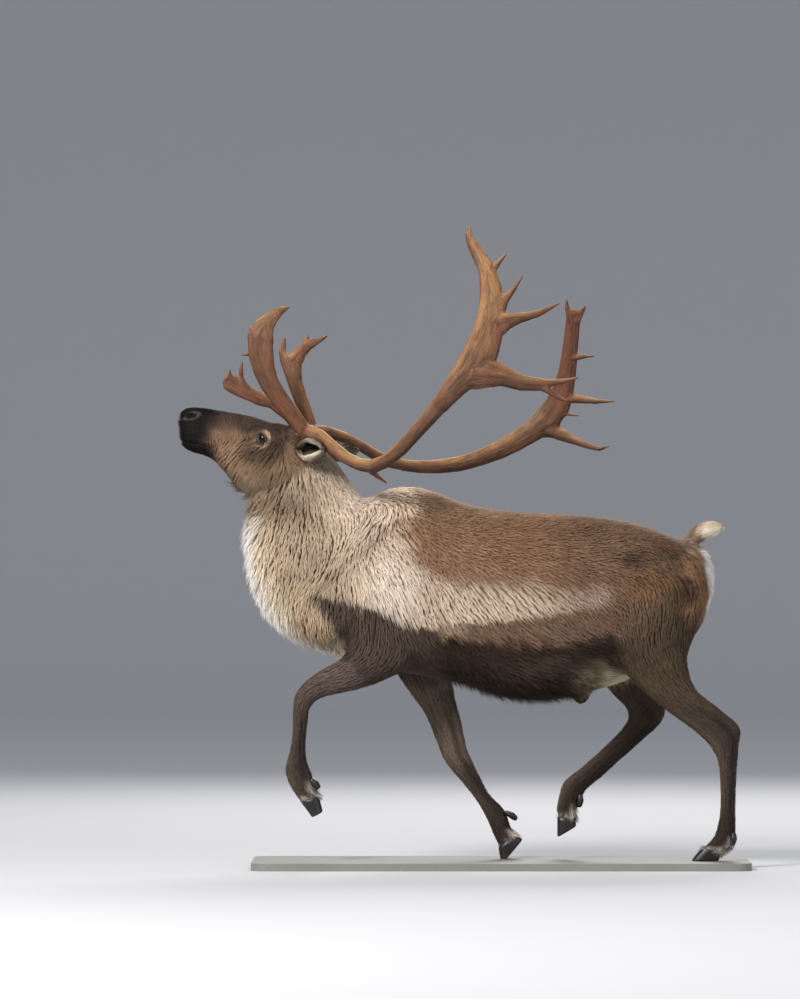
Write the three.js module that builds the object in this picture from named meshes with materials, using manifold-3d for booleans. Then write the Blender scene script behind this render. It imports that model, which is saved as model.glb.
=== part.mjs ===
// A bull reindeer in autumn coat, life size, caught in mid-stride with its head raised, on a plain display base.
// Millimetres, +Z up. The animal faces -X and its left side faces -Y. Heights are above the ground it treads,
// which is the top of the base, and the whole animal is lifted by the base's thickness at the end.
import * as THREE from "three";
import { mergeVertices } from "three/addons/utils/BufferGeometryUtils.js";
import Module from "manifold-3d";

const wasm = await Module();
wasm.setup();

// Sizes that drive the rest
const GAP = 0.3; // clearance between touching pieces
const BASE_LENGTH = 1680;
const BASE_WIDTH = 620;
const BASE_THICK = 25;
const BASE_CORNER = 60;
const HEAD_TURN = THREE.MathUtils.degToRad(-8); // the nose swings to the animal's right
const HEAD_PIVOT = new THREE.Vector3(-600, 0, 0);
const EYE = { x: -796, y: 68, z: 1429, radius: 18 };
const DEWCLAW_LENGTH = 42;
const CLAW_HALF = 19;
const COAT_DEPTH = 36; // how far the mane's core lies under the coat at the throat

const FORWARD = new THREE.Vector3(-1, 0, 0);
const ACROSS = new THREE.Vector3(0, 1, 0);

// Solids and meshes

// Catmull-Rom through rows of numbers, each column on its own, with perSpan steps between rows.
function spline(rows, perSpan) {
  const at = (i) => rows[Math.min(Math.max(i, 0), rows.length - 1)];
  const out = [];
  for (let i = 0; i < rows.length - 1; i++) {
    for (let k = 0; k < perSpan; k++) {
      const t = k / perSpan;
      out.push(
        at(i).map((p1, c) => {
          const p0 = at(i - 1)[c];
          const p2 = at(i + 1)[c];
          const p3 = at(i + 2)[c];
          const a = 2 * p1 + (p2 - p0) * t;
          const b = (2 * p0 - 5 * p1 + 4 * p2 - p3) * t * t;
          return (a + b + (3 * p1 - p0 - 3 * p2 + p3) * t * t * t) / 2;
        }),
      );
    }
  }
  out.push(rows[rows.length - 1]);
  return out;
}

// The same curve at one place, u rows along.
function splineAt(rows, u) {
  const fine = 20;
  return spline(rows, fine)[Math.min(Math.round(u * fine), (rows.length - 1) * fine)];
}

// A closed solid skinned over rings that hold the same number of points.
function skin(rings) {
  const n = rings[0].length;
  const points = rings.flat();
  const faces = [];
  for (let i = 0; i < rings.length - 1; i++) {
    for (let j = 0; j < n; j++) {
      const a = i * n + j;
      const b = i * n + ((j + 1) % n);
      faces.push([a, b, a + n], [b, b + n, a + n]);
    }
  }
  for (const [first, turn] of [[0, true], [(rings.length - 1) * n, false]]) {
    const middle = new THREE.Vector3();
    for (let j = 0; j < n; j++) middle.addScaledVector(points[first + j], 1 / n);
    points.push(middle);
    for (let j = 0; j < n; j++) {
      const a = first + j;
      const b = first + ((j + 1) % n);
      faces.push(turn ? [b, a, points.length - 1] : [a, b, points.length - 1]);
    }
  }
  const volume = faces.reduce((sum, [a, b, c]) => {
    return sum + points[a].dot(points[b].clone().cross(points[c]));
  }, 0);
  if (volume < 0) for (const f of faces) f.reverse();
  return new wasm.Manifold(
    new wasm.Mesh({
      numProp: 3,
      vertProperties: new Float32Array(points.flatMap((p) => [p.x, p.y, p.z])),
      triVerts: new Uint32Array(faces.flat()),
    }),
  );
}

function fromGeometry(geometry) {
  geometry.deleteAttribute("normal");
  geometry.deleteAttribute("uv");
  const merged = mergeVertices(geometry, 1e-3);
  return new wasm.Manifold(
    new wasm.Mesh({
      numProp: 3,
      vertProperties: merged.attributes.position.array,
      triVerts: new Uint32Array(merged.index.array),
    }),
  );
}

const join = (solids) => solids.reduce((a, b) => a.add(b));
const cut = (solid, tools) => tools.reduce((a, b) => a.subtract(b), solid);

// The largest closed surface of a solid, without loose scraps.
function largest(solid) {
  return solid.decompose().sort((a, b) => b.volume() - a.volume())[0];
}

// Keeps what lies on the side of a plane that its normal points to.
const keepSide = (solid, normal, point) =>
  solid.trimByPlane([normal.x, normal.y, normal.z], normal.dot(point));

function mirrored(solid) {
  return solid.mirror([0, 1, 0]);
}

// Turns what belongs to the head about the top of the neck.
function turned(solid) {
  return solid
    .translate([-HEAD_PIVOT.x, -HEAD_PIVOT.y, 0])
    .rotate([0, 0, THREE.MathUtils.radToDeg(HEAD_TURN)])
    .translate([HEAD_PIVOT.x, HEAD_PIVOT.y, 0]);
}

// A ring through two edge points seen from the side, as wide as twice half, with its middle at y.
// shape over 2 squares it off, and lean lifts the widest point towards the first edge.
function ring([x1, z1, x2, z2, half, y = 0, shape = 2.2, lean = 0], sides, grow = 0) {
  const first = new THREE.Vector3(x1, y, z1);
  const last = new THREE.Vector3(x2, y, z2);
  const middle = first.clone().add(last).multiplyScalar(0.5);
  const arm = first.sub(middle);
  arm.setLength(arm.length() + grow);
  const out = [];
  for (let j = 0; j < sides; j++) {
    const turn = (2 * Math.PI * j) / sides;
    const power = (v) => Math.sign(v) * Math.abs(v) ** (2 / shape);
    const up = power(Math.cos(turn));
    const along = up + lean * (1 - up * up);
    const side = power(Math.sin(turn)) * (half + grow);
    out.push(middle.clone().addScaledVector(arm, along).addScaledVector(ACROSS, side));
  }
  return out;
}

// The top of the neck follows the head's turn, and the breast doesn't.
function sway(point) {
  const share = THREE.MathUtils.smoothstep(point.z, 1000, 1260);
  point.y += share * Math.tan(-HEAD_TURN) * Math.max(HEAD_PIVOT.x - point.x, 0);
  return point;
}

// Moves a loft's two end rings outward by grow.
function stretchEnds(rings, grow) {
  const centre = (points) => points.reduce((a, p) => a.add(p), new THREE.Vector3()).divideScalar(points.length);
  for (const [end, next] of [[0, 1], [rings.length - 1, rings.length - 2]]) {
    const out = centre(rings[end]).sub(centre(rings[next])).setLength(grow);
    for (const p of rings[end]) p.add(out);
  }
  return rings;
}

function body(stations, sides, perSpan, grow = 0) {
  const rings = spline(stations, perSpan).map((row) => ring(row, sides, grow));
  return skin(grow > 0 ? stretchEnds(rings, 2 * grow) : rings);
}

// A tube along points [x, y, z, radius, flatness]: radius in the side view, and radius times flatness across it.
function antlerTube(points, sides, perSpan, grow = 0) {
  const rows = spline(points, perSpan);
  const rings = rows.map(([x, y, z, radius, flat], i) => {
    const before = rows[Math.max(i - 1, 0)];
    const after = rows[Math.min(i + 1, rows.length - 1)];
    const along = new THREE.Vector3(after[0] - before[0], after[1] - before[1], after[2] - before[2]);
    const broad = along.clone().cross(ACROSS).normalize();
    const thin = along.clone().cross(broad).normalize();
    return Array.from({ length: sides }, (_, j) => {
      const turn = (2 * Math.PI * j) / sides;
      return new THREE.Vector3(x, y, z)
        .addScaledVector(broad, Math.cos(turn) * (radius + grow))
        .addScaledVector(thin, Math.sin(turn) * (radius * flat + grow));
    });
  });
  return skin(grow > 0 ? stretchEnds(rings, 2 * grow) : rings);
}

const group = new THREE.Group();

function addNode(name, solid, colour, roughness = 0.9) {
  const mesh = largest(solid).getMesh();
  const points = new Float32Array(mesh.numVert * 3);
  for (let i = 0; i < mesh.numVert; i++) {
    points.set(mesh.vertProperties.subarray(i * mesh.numProp, i * mesh.numProp + 3), i * 3);
  }
  const geometry = new THREE.BufferGeometry()
    .setAttribute("position", new THREE.BufferAttribute(points, 3))
    .setIndex(new THREE.BufferAttribute(mesh.triVerts, 1));
  geometry.computeVertexNormals();
  const material = new THREE.MeshStandardMaterial({ color: colour, roughness, metalness: 0 });
  const node = new THREE.Mesh(geometry, material);
  node.name = name;
  group.add(node);
}

// Colours
const COAT_BROWN = 0x6f5544;
const COAT_DARK = 0x3c312b;
const MANE_CREAM = 0xd8cbb5;
const FACE_BROWN = 0x5c4c40;
const ANTLER = 0x9a6038;
const HORN_BLACK = 0x1f1c1a;
const EYE_DARK = 0x1a100a;
const TAIL_WHITE = 0xe8e2d4;
const BASE_GREY = 0x8a8a86;

// Torso, from the breast to the rump: [x, back, x, belly, half width, y, shape, lean]
const torsoStations = [
  [-578, 1130, -572, 738, 62, 0, 2.2, 0],
  [-512, 1208, -512, 692, 135, 0, 2.2, 0],
  [-440, 1236, -440, 664, 174, 0, 2.2, 0],
  [-345, 1268, -345, 640, 202, 0, 2.1, -0.1],
  [-240, 1258, -240, 620, 224, 0, 2.1, -0.12],
  [-120, 1212, -120, 598, 246, 0, 2.2, -0.1],
  [20, 1186, 20, 552, 262, 0, 2.3, -0.06],
  [160, 1178, 160, 544, 264, 0, 2.3, -0.04],
  [290, 1169, 290, 567, 246, 0, 2.2, 0],
  [400, 1157, 400, 598, 220, 0, 2.2, 0.1],
  [500, 1131, 500, 645, 200, 0, 2.2, 0.15],
  [590, 1095, 590, 700, 176, 0, 2.2, 0.15],
  [655, 1070, 655, 762, 144, 0, 2.2, 0.1],
  [690, 1050, 692, 826, 98, 0, 2.2, 0],
  [705, 1002, 704, 880, 52, 0, 2.2, 0],
  [711, 956, 709, 912, 18, 0, 2.2, 0],
];
const TORSO_SIDES = 18;

// The sheath under the belly of a bull
const sheathStations = [
  [245, 620, 322, 620, 36, 0, 2, 0],
  [248, 548, 308, 558, 26, 0, 2, 0],
  [262, 528, 291, 531, 13, 0, 2, 0],
];

function torsoSolid(grow) {
  return join([body(torsoStations, TORSO_SIDES, 2, grow), body(sheathStations, 8, 1, grow)]);
}

const torso = torsoSolid(0);
const torsoGrown = torsoSolid(GAP);

// Head, from the nose to the poll: [x, brow line, x, jaw line, half width, y, shape, lean]
const headStations = [
  [-1100, 1497, -1094, 1440, 26, 0, 2.2, 0],
  [-1084, 1531, -1082, 1404, 43, 0, 2.3, 0.05],
  [-1056, 1541, -1052, 1385, 52, 0, 2.3, 0.05],
  [-1012, 1539, -1010, 1373, 54, 0, 2.3, 0],
  [-962, 1531, -972, 1354, 53, 0, 2.2, -0.1],
  [-892, 1519, -932, 1315, 60, 0, 2.1, -0.05],
  [-840, 1508, -892, 1273, 74, 0, 2.1, 0.05],
  [-785, 1490, -832, 1250, 84, 0, 2.2, 0.1],
  [-735, 1477, -750, 1248, 84, 0, 2.2, 0.05],
  [-682, 1448, -665, 1272, 72, 0, 2.2, 0],
  [-635, 1405, -610, 1310, 48, 0, 2.2, 0],
];
const HEAD_SIDES = 18;

// Neck, from inside the head down to inside the breast: [x, nape, x, throat, half width, y, shape, lean]
const neckStations = [
  [-668, 1440, -862, 1400, 60, 0, 2, 0],
  [-612, 1408, -922, 1316, 74, 0, 2, 0],
  [-554, 1350, -878, 1248, 86, 0, 2, 0],
  [-517, 1301, -864, 1170, 98, 0, 2, 0],
  [-488, 1259, -873, 1075, 110, 0, 2, 0],
  [-456, 1222, -856, 965, 126, 0, 2.1, 0],
  [-395, 1188, -820, 862, 144, 0, 2.1, 0],
  [-345, 1110, -750, 776, 156, 0, 2.1, 0],
  [-345, 985, -625, 722, 150, 0, 2.1, 0],
  [-345, 890, -535, 730, 120, 0, 2.1, 0],
];
const NECK_SIDES = 16;

// The plane behind the ears and under the jaw where the head ends and the neck starts
const headPlanePoint = new THREE.Vector3(-770, 0, 1350);
const headPlaneNormal = new THREE.Vector3(-0.56, 0, 0.83).normalize();

// Mane: flat tapered locks in rows down the throat and the sides of the neck, each row over the roots of the next
const MANE_ROWS = 8;
const MANE_FIRST = 0.65; // in neck stations from the head
const MANE_LAST = 7.3;
const MANE_SPREAD = 2.3; // how far round from the throat the locks grow, in radians
const LOCK_SPACING = 80;
const LOCK_WIDTH = 100;
const LOCK_THICK = 15;
const LOCK_SINK = 14; // how deep a lock's root lies in the core
const LOCK_RUN = 1.4; // a lock's length, in neck stations
const FRINGE = 12; // how far the tips at the throat stand out of the coat's outline

// A repeatable draw between -1 and 1 for number n
const vary = (n) => {
  const wave = Math.sin(n * 127.1 + 3.7) * 43758.5453;
  return 2 * (wave - Math.floor(wave)) - 1;
};

// A point on the neck: u in stations, turn in radians round from the throat, depth under the coat's outline.
function neckPoint(u, turn, depth) {
  const [x1, z1, x2, z2, half] = splineAt(neckStations, u);
  const middle = new THREE.Vector3((x1 + x2) / 2, 0, (z1 + z2) / 2);
  const arm = new THREE.Vector3(x2, 0, z2).sub(middle);
  const reach = arm.length() - depth;
  arm.normalize();
  const point = middle
    .addScaledVector(arm, Math.cos(turn) * reach)
    .addScaledVector(ACROSS, Math.sin(turn) * (half - depth));
  return sway(point);
}

// How deep the mane's core lies under the outline: deep at the throat, shallow at the nape and by the jaw.
function coreDepth(u, turn) {
  const round = 0.3 + 0.7 * Math.max(0, Math.cos(turn / 1.6));
  return COAT_DEPTH * round * THREE.MathUtils.smoothstep(u, 0.2, 2.6);
}

function neckCore() {
  const rings = [];
  for (let u = 0; u < neckStations.length; u += 0.75) {
    rings.push(
      Array.from({ length: NECK_SIDES }, (_, j) => {
        const turn = (2 * Math.PI * j) / NECK_SIDES;
        const signed = turn > Math.PI ? turn - 2 * Math.PI : turn;
        return neckPoint(u, signed, coreDepth(u, signed));
      }),
    );
  }
  return skin(rings);
}

// One lock: a flat strip along its points with a low ridge, widest at a third of its length, ending in a blunt tip.
function lock(points, outward, width, thick) {
  const widths = [0.7, 1, 0.7, 0.1];
  const rings = points.map((p, i) => {
    const along = points[Math.min(i + 1, points.length - 1)].clone().sub(points[Math.max(i - 1, 0)]);
    const flat = along.clone().cross(outward).normalize();
    const lift = flat.clone().cross(along).normalize();
    const half = (width / 2) * widths[i];
    return [
      p.clone().addScaledVector(flat, half),
      p.clone().addScaledVector(lift, thick * Math.max(widths[i], 0.3)),
      p.clone().addScaledVector(flat, -half),
    ];
  });
  return skin(rings);
}

function maneLock(u, turn, n) {
  const run = LOCK_RUN * (1 + 0.15 * vary(n + 50));
  const throat = Math.max(0, Math.cos(turn)) ** 2;
  const depth = coreDepth(u, turn);
  const deeper = coreDepth(u + run, turn);
  const swing = 0.06 * vary(n + 9);
  const points = [
    neckPoint(u, turn, depth + LOCK_SINK),
    neckPoint(u + 0.3 * run, turn + swing, depth * 0.62 - 3),
    neckPoint(u + 0.68 * run, turn, deeper * 0.4 - 2),
    neckPoint(u + run, turn - swing, -2 - FRINGE * throat * (1 + 0.4 * vary(n + 21))),
  ];
  const outward = points[2].clone().sub(neckPoint(u + 0.7 * run, turn, deeper + 60)).normalize();
  return lock(points, outward, LOCK_WIDTH * (1 + 0.15 * vary(n + 3)), LOCK_THICK);
}

function maneLocks() {
  const locks = [];
  for (let row = 0; row < MANE_ROWS; row++) {
    const u = MANE_FIRST + ((MANE_LAST - MANE_FIRST) * row) / (MANE_ROWS - 1);
    const [x1, z1, x2, z2, half] = splineAt(neckStations, u);
    const radius = (half + Math.hypot(x1 - x2, z1 - z2) / 2) / 2;
    const each = LOCK_SPACING / radius;
    const side = Math.floor(MANE_SPREAD / each);
    for (let k = -side; k <= side; k++) {
      const n = 40 * row + k;
      const turn = each * (k + (row % 2) / 2 + 0.15 * vary(n));
      locks.push(maneLock(u + 0.12 * vary(n + 70), turn, n));
    }
  }
  return locks;
}

// Legs: [x, front, x, back, half width, y], from inside the torso down to the coronet
const foreLeft = [
  [-505, 860, -300, 780, 60, -128],
  [-515, 735, -290, 672, 62, -140],
  [-548, 682, -380, 614, 50, -138],
  [-585, 662, -470, 580, 40, -134],
  [-632, 634, -558, 560, 33, -131],
  [-672, 602, -614, 543, 31, -129],
  [-700, 560, -634, 524, 32, -128],
  [-706, 510, -644, 506, 27, -127],
  [-705, 450, -652, 448, 23, -126],
  [-712, 380, -657, 384, 23, -125],
  [-728, 318, -650, 330, 29, -124],
  [-722, 276, -634, 290, 30, -124],
  [-700, 234, -626, 246, 28, -124],
  [-679, 206, -615, 222, 33, -124],
];
const foreRight = [
  [-400, 780, -180, 760, 60, 128],
  [-372, 665, -162, 655, 62, 138],
  [-314, 572, -150, 560, 48, 133],
  [-256, 492, -134, 490, 39, 126],
  [-219, 405, -118, 414, 32, 119],
  [-197, 348, -106, 364, 31, 114],
  [-169, 306, -92, 334, 32, 110],
  [-123, 252, -68, 284, 26, 106],
  [-83, 200, -34, 222, 23, 102],
  [-49, 144, 18, 166, 29, 99],
  [-33, 108, 34, 124, 30, 97],
  [-17, 70, 44, 98, 28, 96],
  [-5, 48, 58, 84, 33, 96],
];
const hindLeft = [
  [350, 1010, 640, 1010, 60, -100],
  [345, 880, 702, 900, 92, -122],
  [352, 760, 666, 775, 88, -130],
  [405, 645, 638, 705, 70, -128],
  [490, 556, 642, 640, 50, -122],
  [568, 496, 668, 580, 40, -116],
  [640, 448, 735, 524, 34, -111],
  [692, 404, 786, 480, 32, -107],
  [722, 362, 811, 446, 33, -104],
  [735, 328, 805, 388, 28, -101],
  [741, 256, 799, 272, 24, -98],
  [741, 172, 796, 178, 24, -95],
  [727, 98, 796, 98, 30, -93],
  [706, 64, 784, 52, 31, -92],
  [684, 46, 744, 26, 33, -92],
];
const hindRight = [
  [300, 1000, 600, 1000, 60, 100],
  [300, 870, 650, 880, 92, 122],
  [305, 740, 618, 725, 82, 130],
  [332, 632, 585, 640, 64, 126],
  [381, 562, 572, 578, 46, 120],
  [424, 520, 572, 526, 36, 114],
  [438, 478, 556, 468, 33, 110],
  [400, 424, 474, 390, 28, 106],
  [345, 373, 410, 332, 24, 102],
  [286, 319, 346, 274, 24, 99],
  [219, 263, 302, 240, 29, 96],
  [201, 212, 280, 204, 30, 96],
  [194, 176, 262, 168, 28, 96],
  [197, 148, 260, 138, 33, 96],
];
const LEG_SIDES = 12;

// The lower legs end square, where the hooves start.
const legBody = (stations, grow = 0) => body(stations.map((row) => [...row, 2.2, 0]), LEG_SIDES, 1, grow);
const legOf = (stations) => cut(legBody(stations), [torsoGrown]);

// Hooves: two claws side by side below the coronet, and two dewclaws behind the fetlock.
// length runs down the front of a claw and heel is the share of it that the back has. toe and back are how far
// the claw's tip and heel reach past the coronet's edges. dew is a dewclaw's root and lean how far its tip stands off.
const feet = {
  front_left: { leg: foreLeft, length: 64, toe: -28, heel: 0.86, back: 0, dew: [-634, 268], lean: 0.25 },
  front_right: { leg: foreRight, length: 62, toe: 22, heel: 0.4, back: 8, dew: [30, 152], lean: 0.45 },
  hind_left: { leg: hindLeft, length: 56, toe: 22, heel: 0.75, back: 0, dew: [784, 84], lean: 0.1 },
  hind_right: { leg: hindRight, length: 72, toe: -12, heel: 0.36, back: 4, dew: [272, 208], lean: 0.2 },
};

// The coronet's frame: its two edges, the way forward along it, and the way down out of the leg.
function coronetOf(stations) {
  const [x1, z1, x2, z2, half, y] = stations[stations.length - 1];
  const front = new THREE.Vector3(x1, y, z1);
  const back = new THREE.Vector3(x2, y, z2);
  const forward = front.clone().sub(back).normalize();
  const down = ACROSS.clone().cross(forward).normalize();
  if (down.z > 0) down.negate();
  return { front, back, forward, down, half, y };
}

function claw(foot, side) {
  const { front, back, forward, down, y } = coronetOf(foot.leg);
  const middle = side * (CLAW_HALF - 1.5);
  const levels = [0, 0.35, 0.7, 1];
  const rings = levels.map((level) => {
    const depth = GAP + foot.length * level;
    const a = front.clone().addScaledVector(down, depth).addScaledVector(forward, foot.toe * level ** 0.9);
    const b = back.clone().addScaledVector(down, GAP + foot.length * foot.heel * level);
    b.addScaledVector(forward, -foot.back * level);
    const narrow = 1 - 0.12 * level;
    return ring([a.x, a.z, b.x, b.z, CLAW_HALF * narrow, y + middle, 2.3, 0.15 * level], 10);
  });
  const solid = keepSide(skin(rings), ACROSS.clone().multiplyScalar(side), new THREE.Vector3(0, y + side * 2.5, 0));
  return keepSide(solid, new THREE.Vector3(0, 0, 1), new THREE.Vector3(0, 0, GAP));
}

// A dewclaw: a short blunt claw beside the back of the fetlock, pointing down and a little away.
function dewclaw(foot, side) {
  const { half, y } = coronetOf(foot.leg);
  const last = foot.leg[foot.leg.length - 1];
  const above = foot.leg[foot.leg.length - 4];
  const down = new THREE.Vector3(last[2] - above[2], 0, last[3] - above[3]).normalize();
  const out = new THREE.Vector3(-down.z, 0, down.x);
  const lateral = y + side * half * 0.6;
  const start = new THREE.Vector3(foot.dew[0], lateral, foot.dew[1]);
  const tilt = down.clone().addScaledVector(out, foot.lean).normalize();
  const rings = [
    [-0.3, 10, 0],
    [0.1, 15, 4],
    [0.6, 12, 4],
    [0.75, 5, 1],
  ].map(([share, radius, lift]) => {
    const p = start.clone().addScaledVector(tilt, DEWCLAW_LENGTH * share).addScaledVector(out, lift);
    const a = p.clone().addScaledVector(out, radius * 0.8);
    const b = p.clone().addScaledVector(out, -radius * 0.8);
    return ring([a.x, a.z, b.x, b.z, radius, lateral, 2.2, 0], 8);
  });
  return keepSide(skin(rings), new THREE.Vector3(0, 0, 1), new THREE.Vector3(0, 0, GAP));
}

// Tail, held up: [x, top, x, underside, half width]
const tailStations = [
  [600, 1085, 625, 1010, 22, 0, 2, 0],
  [628, 1106, 650, 1052, 26, 0, 2, 0],
  [655, 1124, 672, 1074, 28, 0, 2, 0],
  [690, 1141, 702, 1090, 28, 0, 2, 0],
  [726, 1146, 732, 1100, 23, 0, 2, 0],
  [750, 1131, 750, 1120, 8, 0, 2, 0],
];

// Antlers: [x, y, z, radius, flatness]
const beamLeft = [
  [-714, -27, 1427, 20, 1],
  [-702, -32, 1438, 30, 1],
  [-684, -40, 1450, 30, 1],
  [-655, -57, 1454, 27, 0.95],
  [-612, -86, 1436, 22, 0.95],
  [-572, -122, 1401, 22, 0.95],
  [-524, -165, 1362, 22, 0.95],
  [-476, -208, 1336, 22, 0.95],
  [-433, -246, 1331, 23, 0.95],
  [-386, -284, 1350, 22, 0.95],
  [-335, -320, 1390, 24, 0.9],
  [-285, -352, 1444, 25, 0.85],
  [-236, -380, 1498, 27, 0.8],
  [-186, -402, 1558, 31, 0.65],
];
const palmLeft = [
  [-236, -380, 1498, 28, 0.8],
  [-186, -402, 1556, 34, 0.65],
  [-140, -415, 1610, 43, 0.52],
  [-94, -422, 1663, 54, 0.38],
  [-68, -420, 1710, 58, 0.33],
  [-50, -410, 1765, 53, 0.31],
  [-38, -395, 1820, 47, 0.33],
  [-33, -376, 1873, 43, 0.35],
  [-36, -356, 1922, 37, 0.42],
  [-45, -337, 1970, 31, 0.48],
  [-60, -318, 2012, 27, 0.5],
  [-81, -300, 2048, 22, 0.6],
  [-99, -286, 2082, 17, 0.7],
  [-109, -276, 2110, 13, 0.8],
  [-106, -268, 2137, 4, 1],
];
const palmLeftTines = [
  [[-42, -330, 1970, 14, 0.7], [-12, -322, 2010, 8, 0.9], [16, -312, 2042, 3, 1]],
  [[-20, -375, 1845, 26, 0.5], [14, -372, 1892, 15, 0.6], [42, -362, 1924, 9, 0.9], [71, -350, 1967, 3, 1]],
  [[-50, -398, 1775, 46, 0.35], [15, -396, 1812, 30, 0.45], [60, -384, 1823, 19, 0.6], [118, -366, 1838, 13, 0.8],
    [170, -350, 1862, 7, 0.9], [196, -340, 1875, 3, 1]],
];
const backTineLeft = [
  [-105, -420, 1641, 60, 0.34],
  [-45, -424, 1638, 51, 0.38],
  [5, -420, 1627, 35, 0.48],
  [70, -408, 1605, 26, 0.55],
  [120, -396, 1601, 22, 0.6],
  [160, -386, 1606, 13, 0.8],
  [205, -374, 1612, 8, 0.9],
  [256, -362, 1625, 3, 1],
];
const backTineLeftFork = [
  [120, -396, 1600, 17, 0.6],
  [150, -392, 1586, 12, 0.8],
  [186, -384, 1560, 7, 0.9],
  [216, -376, 1545, 3, 1],
];
const rearTineLeft = [
  [-446, -236, 1328, 12, 0.9],
  [-420, -226, 1300, 8, 0.9],
  [-385, -212, 1275, 3, 1],
];
const bezLeft = [
  [-665, -62, 1455, 26, 0.8],
  [-708, -84, 1516, 27, 0.64],
  [-750, -104, 1566, 31, 0.5],
  [-782, -120, 1615, 34, 0.42],
  [-801, -134, 1665, 38, 0.35],
  [-811, -142, 1722, 44, 0.3],
  [-811, -144, 1775, 44, 0.28],
  [-797, -140, 1810, 34, 0.3],
  [-772, -130, 1838, 23, 0.38],
  [-745, -118, 1862, 15, 0.5],
  [-706, -104, 1876, 3, 1],
];
const bezLeftPoints = [
  [[-815, -140, 1722, 13, 0.7], [-850, -120, 1713, 7, 1], [-877, -100, 1711, 2.5, 1]],
  [[-824, -140, 1780, 12, 0.6], [-842, -130, 1796, 7, 0.9], [-850, -124, 1812, 2.5, 1]],
  [[-778, -130, 1832, 12, 0.5], [-766, -112, 1856, 7, 0.8], [-742, -96, 1873, 2.5, 1]],
];
const beamRight = [
  [-702, 42, 1430, 20, 1],
  [-690, 48, 1440, 30, 1],
  [-670, 58, 1452, 29, 1],
  [-640, 74, 1458, 26, 0.95],
  [-590, 102, 1454, 20, 0.95],
  [-530, 140, 1437, 18, 0.95],
  [-475, 178, 1410, 17, 0.95],
  [-425, 216, 1380, 18, 0.95],
  [-375, 252, 1356, 19, 0.95],
  [-322, 286, 1346, 19, 0.95],
  [-268, 316, 1342, 21, 0.95],
  [-204, 346, 1344, 23, 0.95],
  [-136, 372, 1354, 25, 0.9],
  [-68, 394, 1375, 26, 0.85],
  [0, 410, 1402, 30, 0.75],
  [61, 420, 1433, 34, 0.65],
];
const palmRight = [
  [0, 410, 1402, 30, 0.75],
  [61, 420, 1433, 34, 0.65],
  [122, 424, 1471, 40, 0.5],
  [174, 422, 1513, 48, 0.4],
  [208, 412, 1562, 47, 0.38],
  [227, 398, 1617, 38, 0.42],
  [239, 382, 1668, 31, 0.5],
  [247, 364, 1728, 28, 0.5],
  [252, 346, 1784, 27, 0.5],
  [257, 330, 1834, 27, 0.45],
  [260, 316, 1870, 24, 0.45],
  [262, 310, 1886, 14, 0.5],
];
const palmRightTines = [
  [[250, 320, 1850, 16, 0.7], [239, 312, 1886, 9, 0.9], [234, 302, 1921, 3, 1]],
  [[268, 322, 1842, 16, 0.7], [284, 314, 1874, 13, 0.9], [301, 304, 1899, 4, 1]],
  [[250, 364, 1720, 15, 0.8], [290, 352, 1726, 8, 0.9], [334, 340, 1726, 3, 1]],
  [[203, 410, 1592, 26, 0.5], [262, 398, 1581, 16, 0.8], [340, 378, 1571, 9, 0.9], [405, 362, 1570, 3, 1]],
  [[198, 418, 1530, 12, 0.7], [242, 412, 1527, 5, 1], [283, 404, 1521, 2.5, 1]],
  [[140, 424, 1484, 36, 0.5], [205, 424, 1464, 25, 0.6], [256, 416, 1440, 15, 0.8], [306, 402, 1420, 11, 0.9],
    [352, 388, 1406, 8, 0.9], [386, 376, 1416, 3, 1]],
];
const bezRight = [
  [-640, 76, 1456, 24, 0.8],
  [-662, 88, 1520, 22, 0.8],
  [-681, 98, 1568, 23, 0.7],
  [-700, 108, 1630, 26, 0.5],
  [-710, 114, 1685, 34, 0.38],
  [-712, 116, 1716, 31, 0.38],
];
const bezRightTines = [
  [[-727, 114, 1694, 21, 0.5], [-744, 118, 1735, 12, 0.7], [-735, 118, 1780, 3, 1]],
  [[-704, 114, 1698, 28, 0.45], [-680, 116, 1732, 22, 0.5], [-655, 114, 1755, 18, 0.6], [-634, 108, 1765, 12, 0.7],
    [-612, 100, 1774, 7, 0.8], [-588, 92, 1786, 3, 1]],
  [[-664, 112, 1752, 12, 0.7], [-661, 118, 1775, 7, 0.9], [-657, 122, 1790, 2.5, 1]],
];
const browRight = [
  [-678, 62, 1462, 22, 0.7],
  [-728, 52, 1513, 16, 0.6],
  [-774, 42, 1551, 20, 0.45],
  [-815, 34, 1567, 24, 0.4],
  [-850, 28, 1584, 24, 0.38],
  [-885, 24, 1602, 27, 0.3],
  [-912, 22, 1621, 30, 0.26],
  [-930, 21, 1628, 26, 0.28],
  [-940, 20, 1632, 12, 0.5],
];
const browRightPoints = [
  [[-905, 22, 1615, 24, 0.3], [-925, 20, 1640, 16, 0.45], [-918, 18, 1669, 3, 1]],
  [[-905, 22, 1612, 20, 0.32], [-926, 22, 1616, 13, 0.5], [-942, 22, 1611, 4, 1]],
  [[-862, 28, 1598, 18, 0.5], [-880, 26, 1636, 9, 0.7], [-882, 24, 1666, 7, 0.9], [-878, 22, 1694, 3, 1]],
];

const tube = (points, sides = 8, perSpan = 1, grow = 0) => antlerTube(points, sides, perSpan, grow);
const tines = (list) => list.map((points) => tube(points, 6, 1));

// Head with its lids, nostrils and mouth, as one solid

// A point on one side of the head at the eye, pushed out by reach.
const eyeCentre = new THREE.Vector3(EYE.x, -EYE.y, EYE.z);
const eyeOut = new THREE.Vector3(-0.25, -1, 0.06).normalize();

function ball(centre, radius, width = 10, height = 6) {
  const g = new THREE.SphereGeometry(radius, width, height);
  return fromGeometry(g.translate(centre.x, centre.y, centre.z));
}

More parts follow.
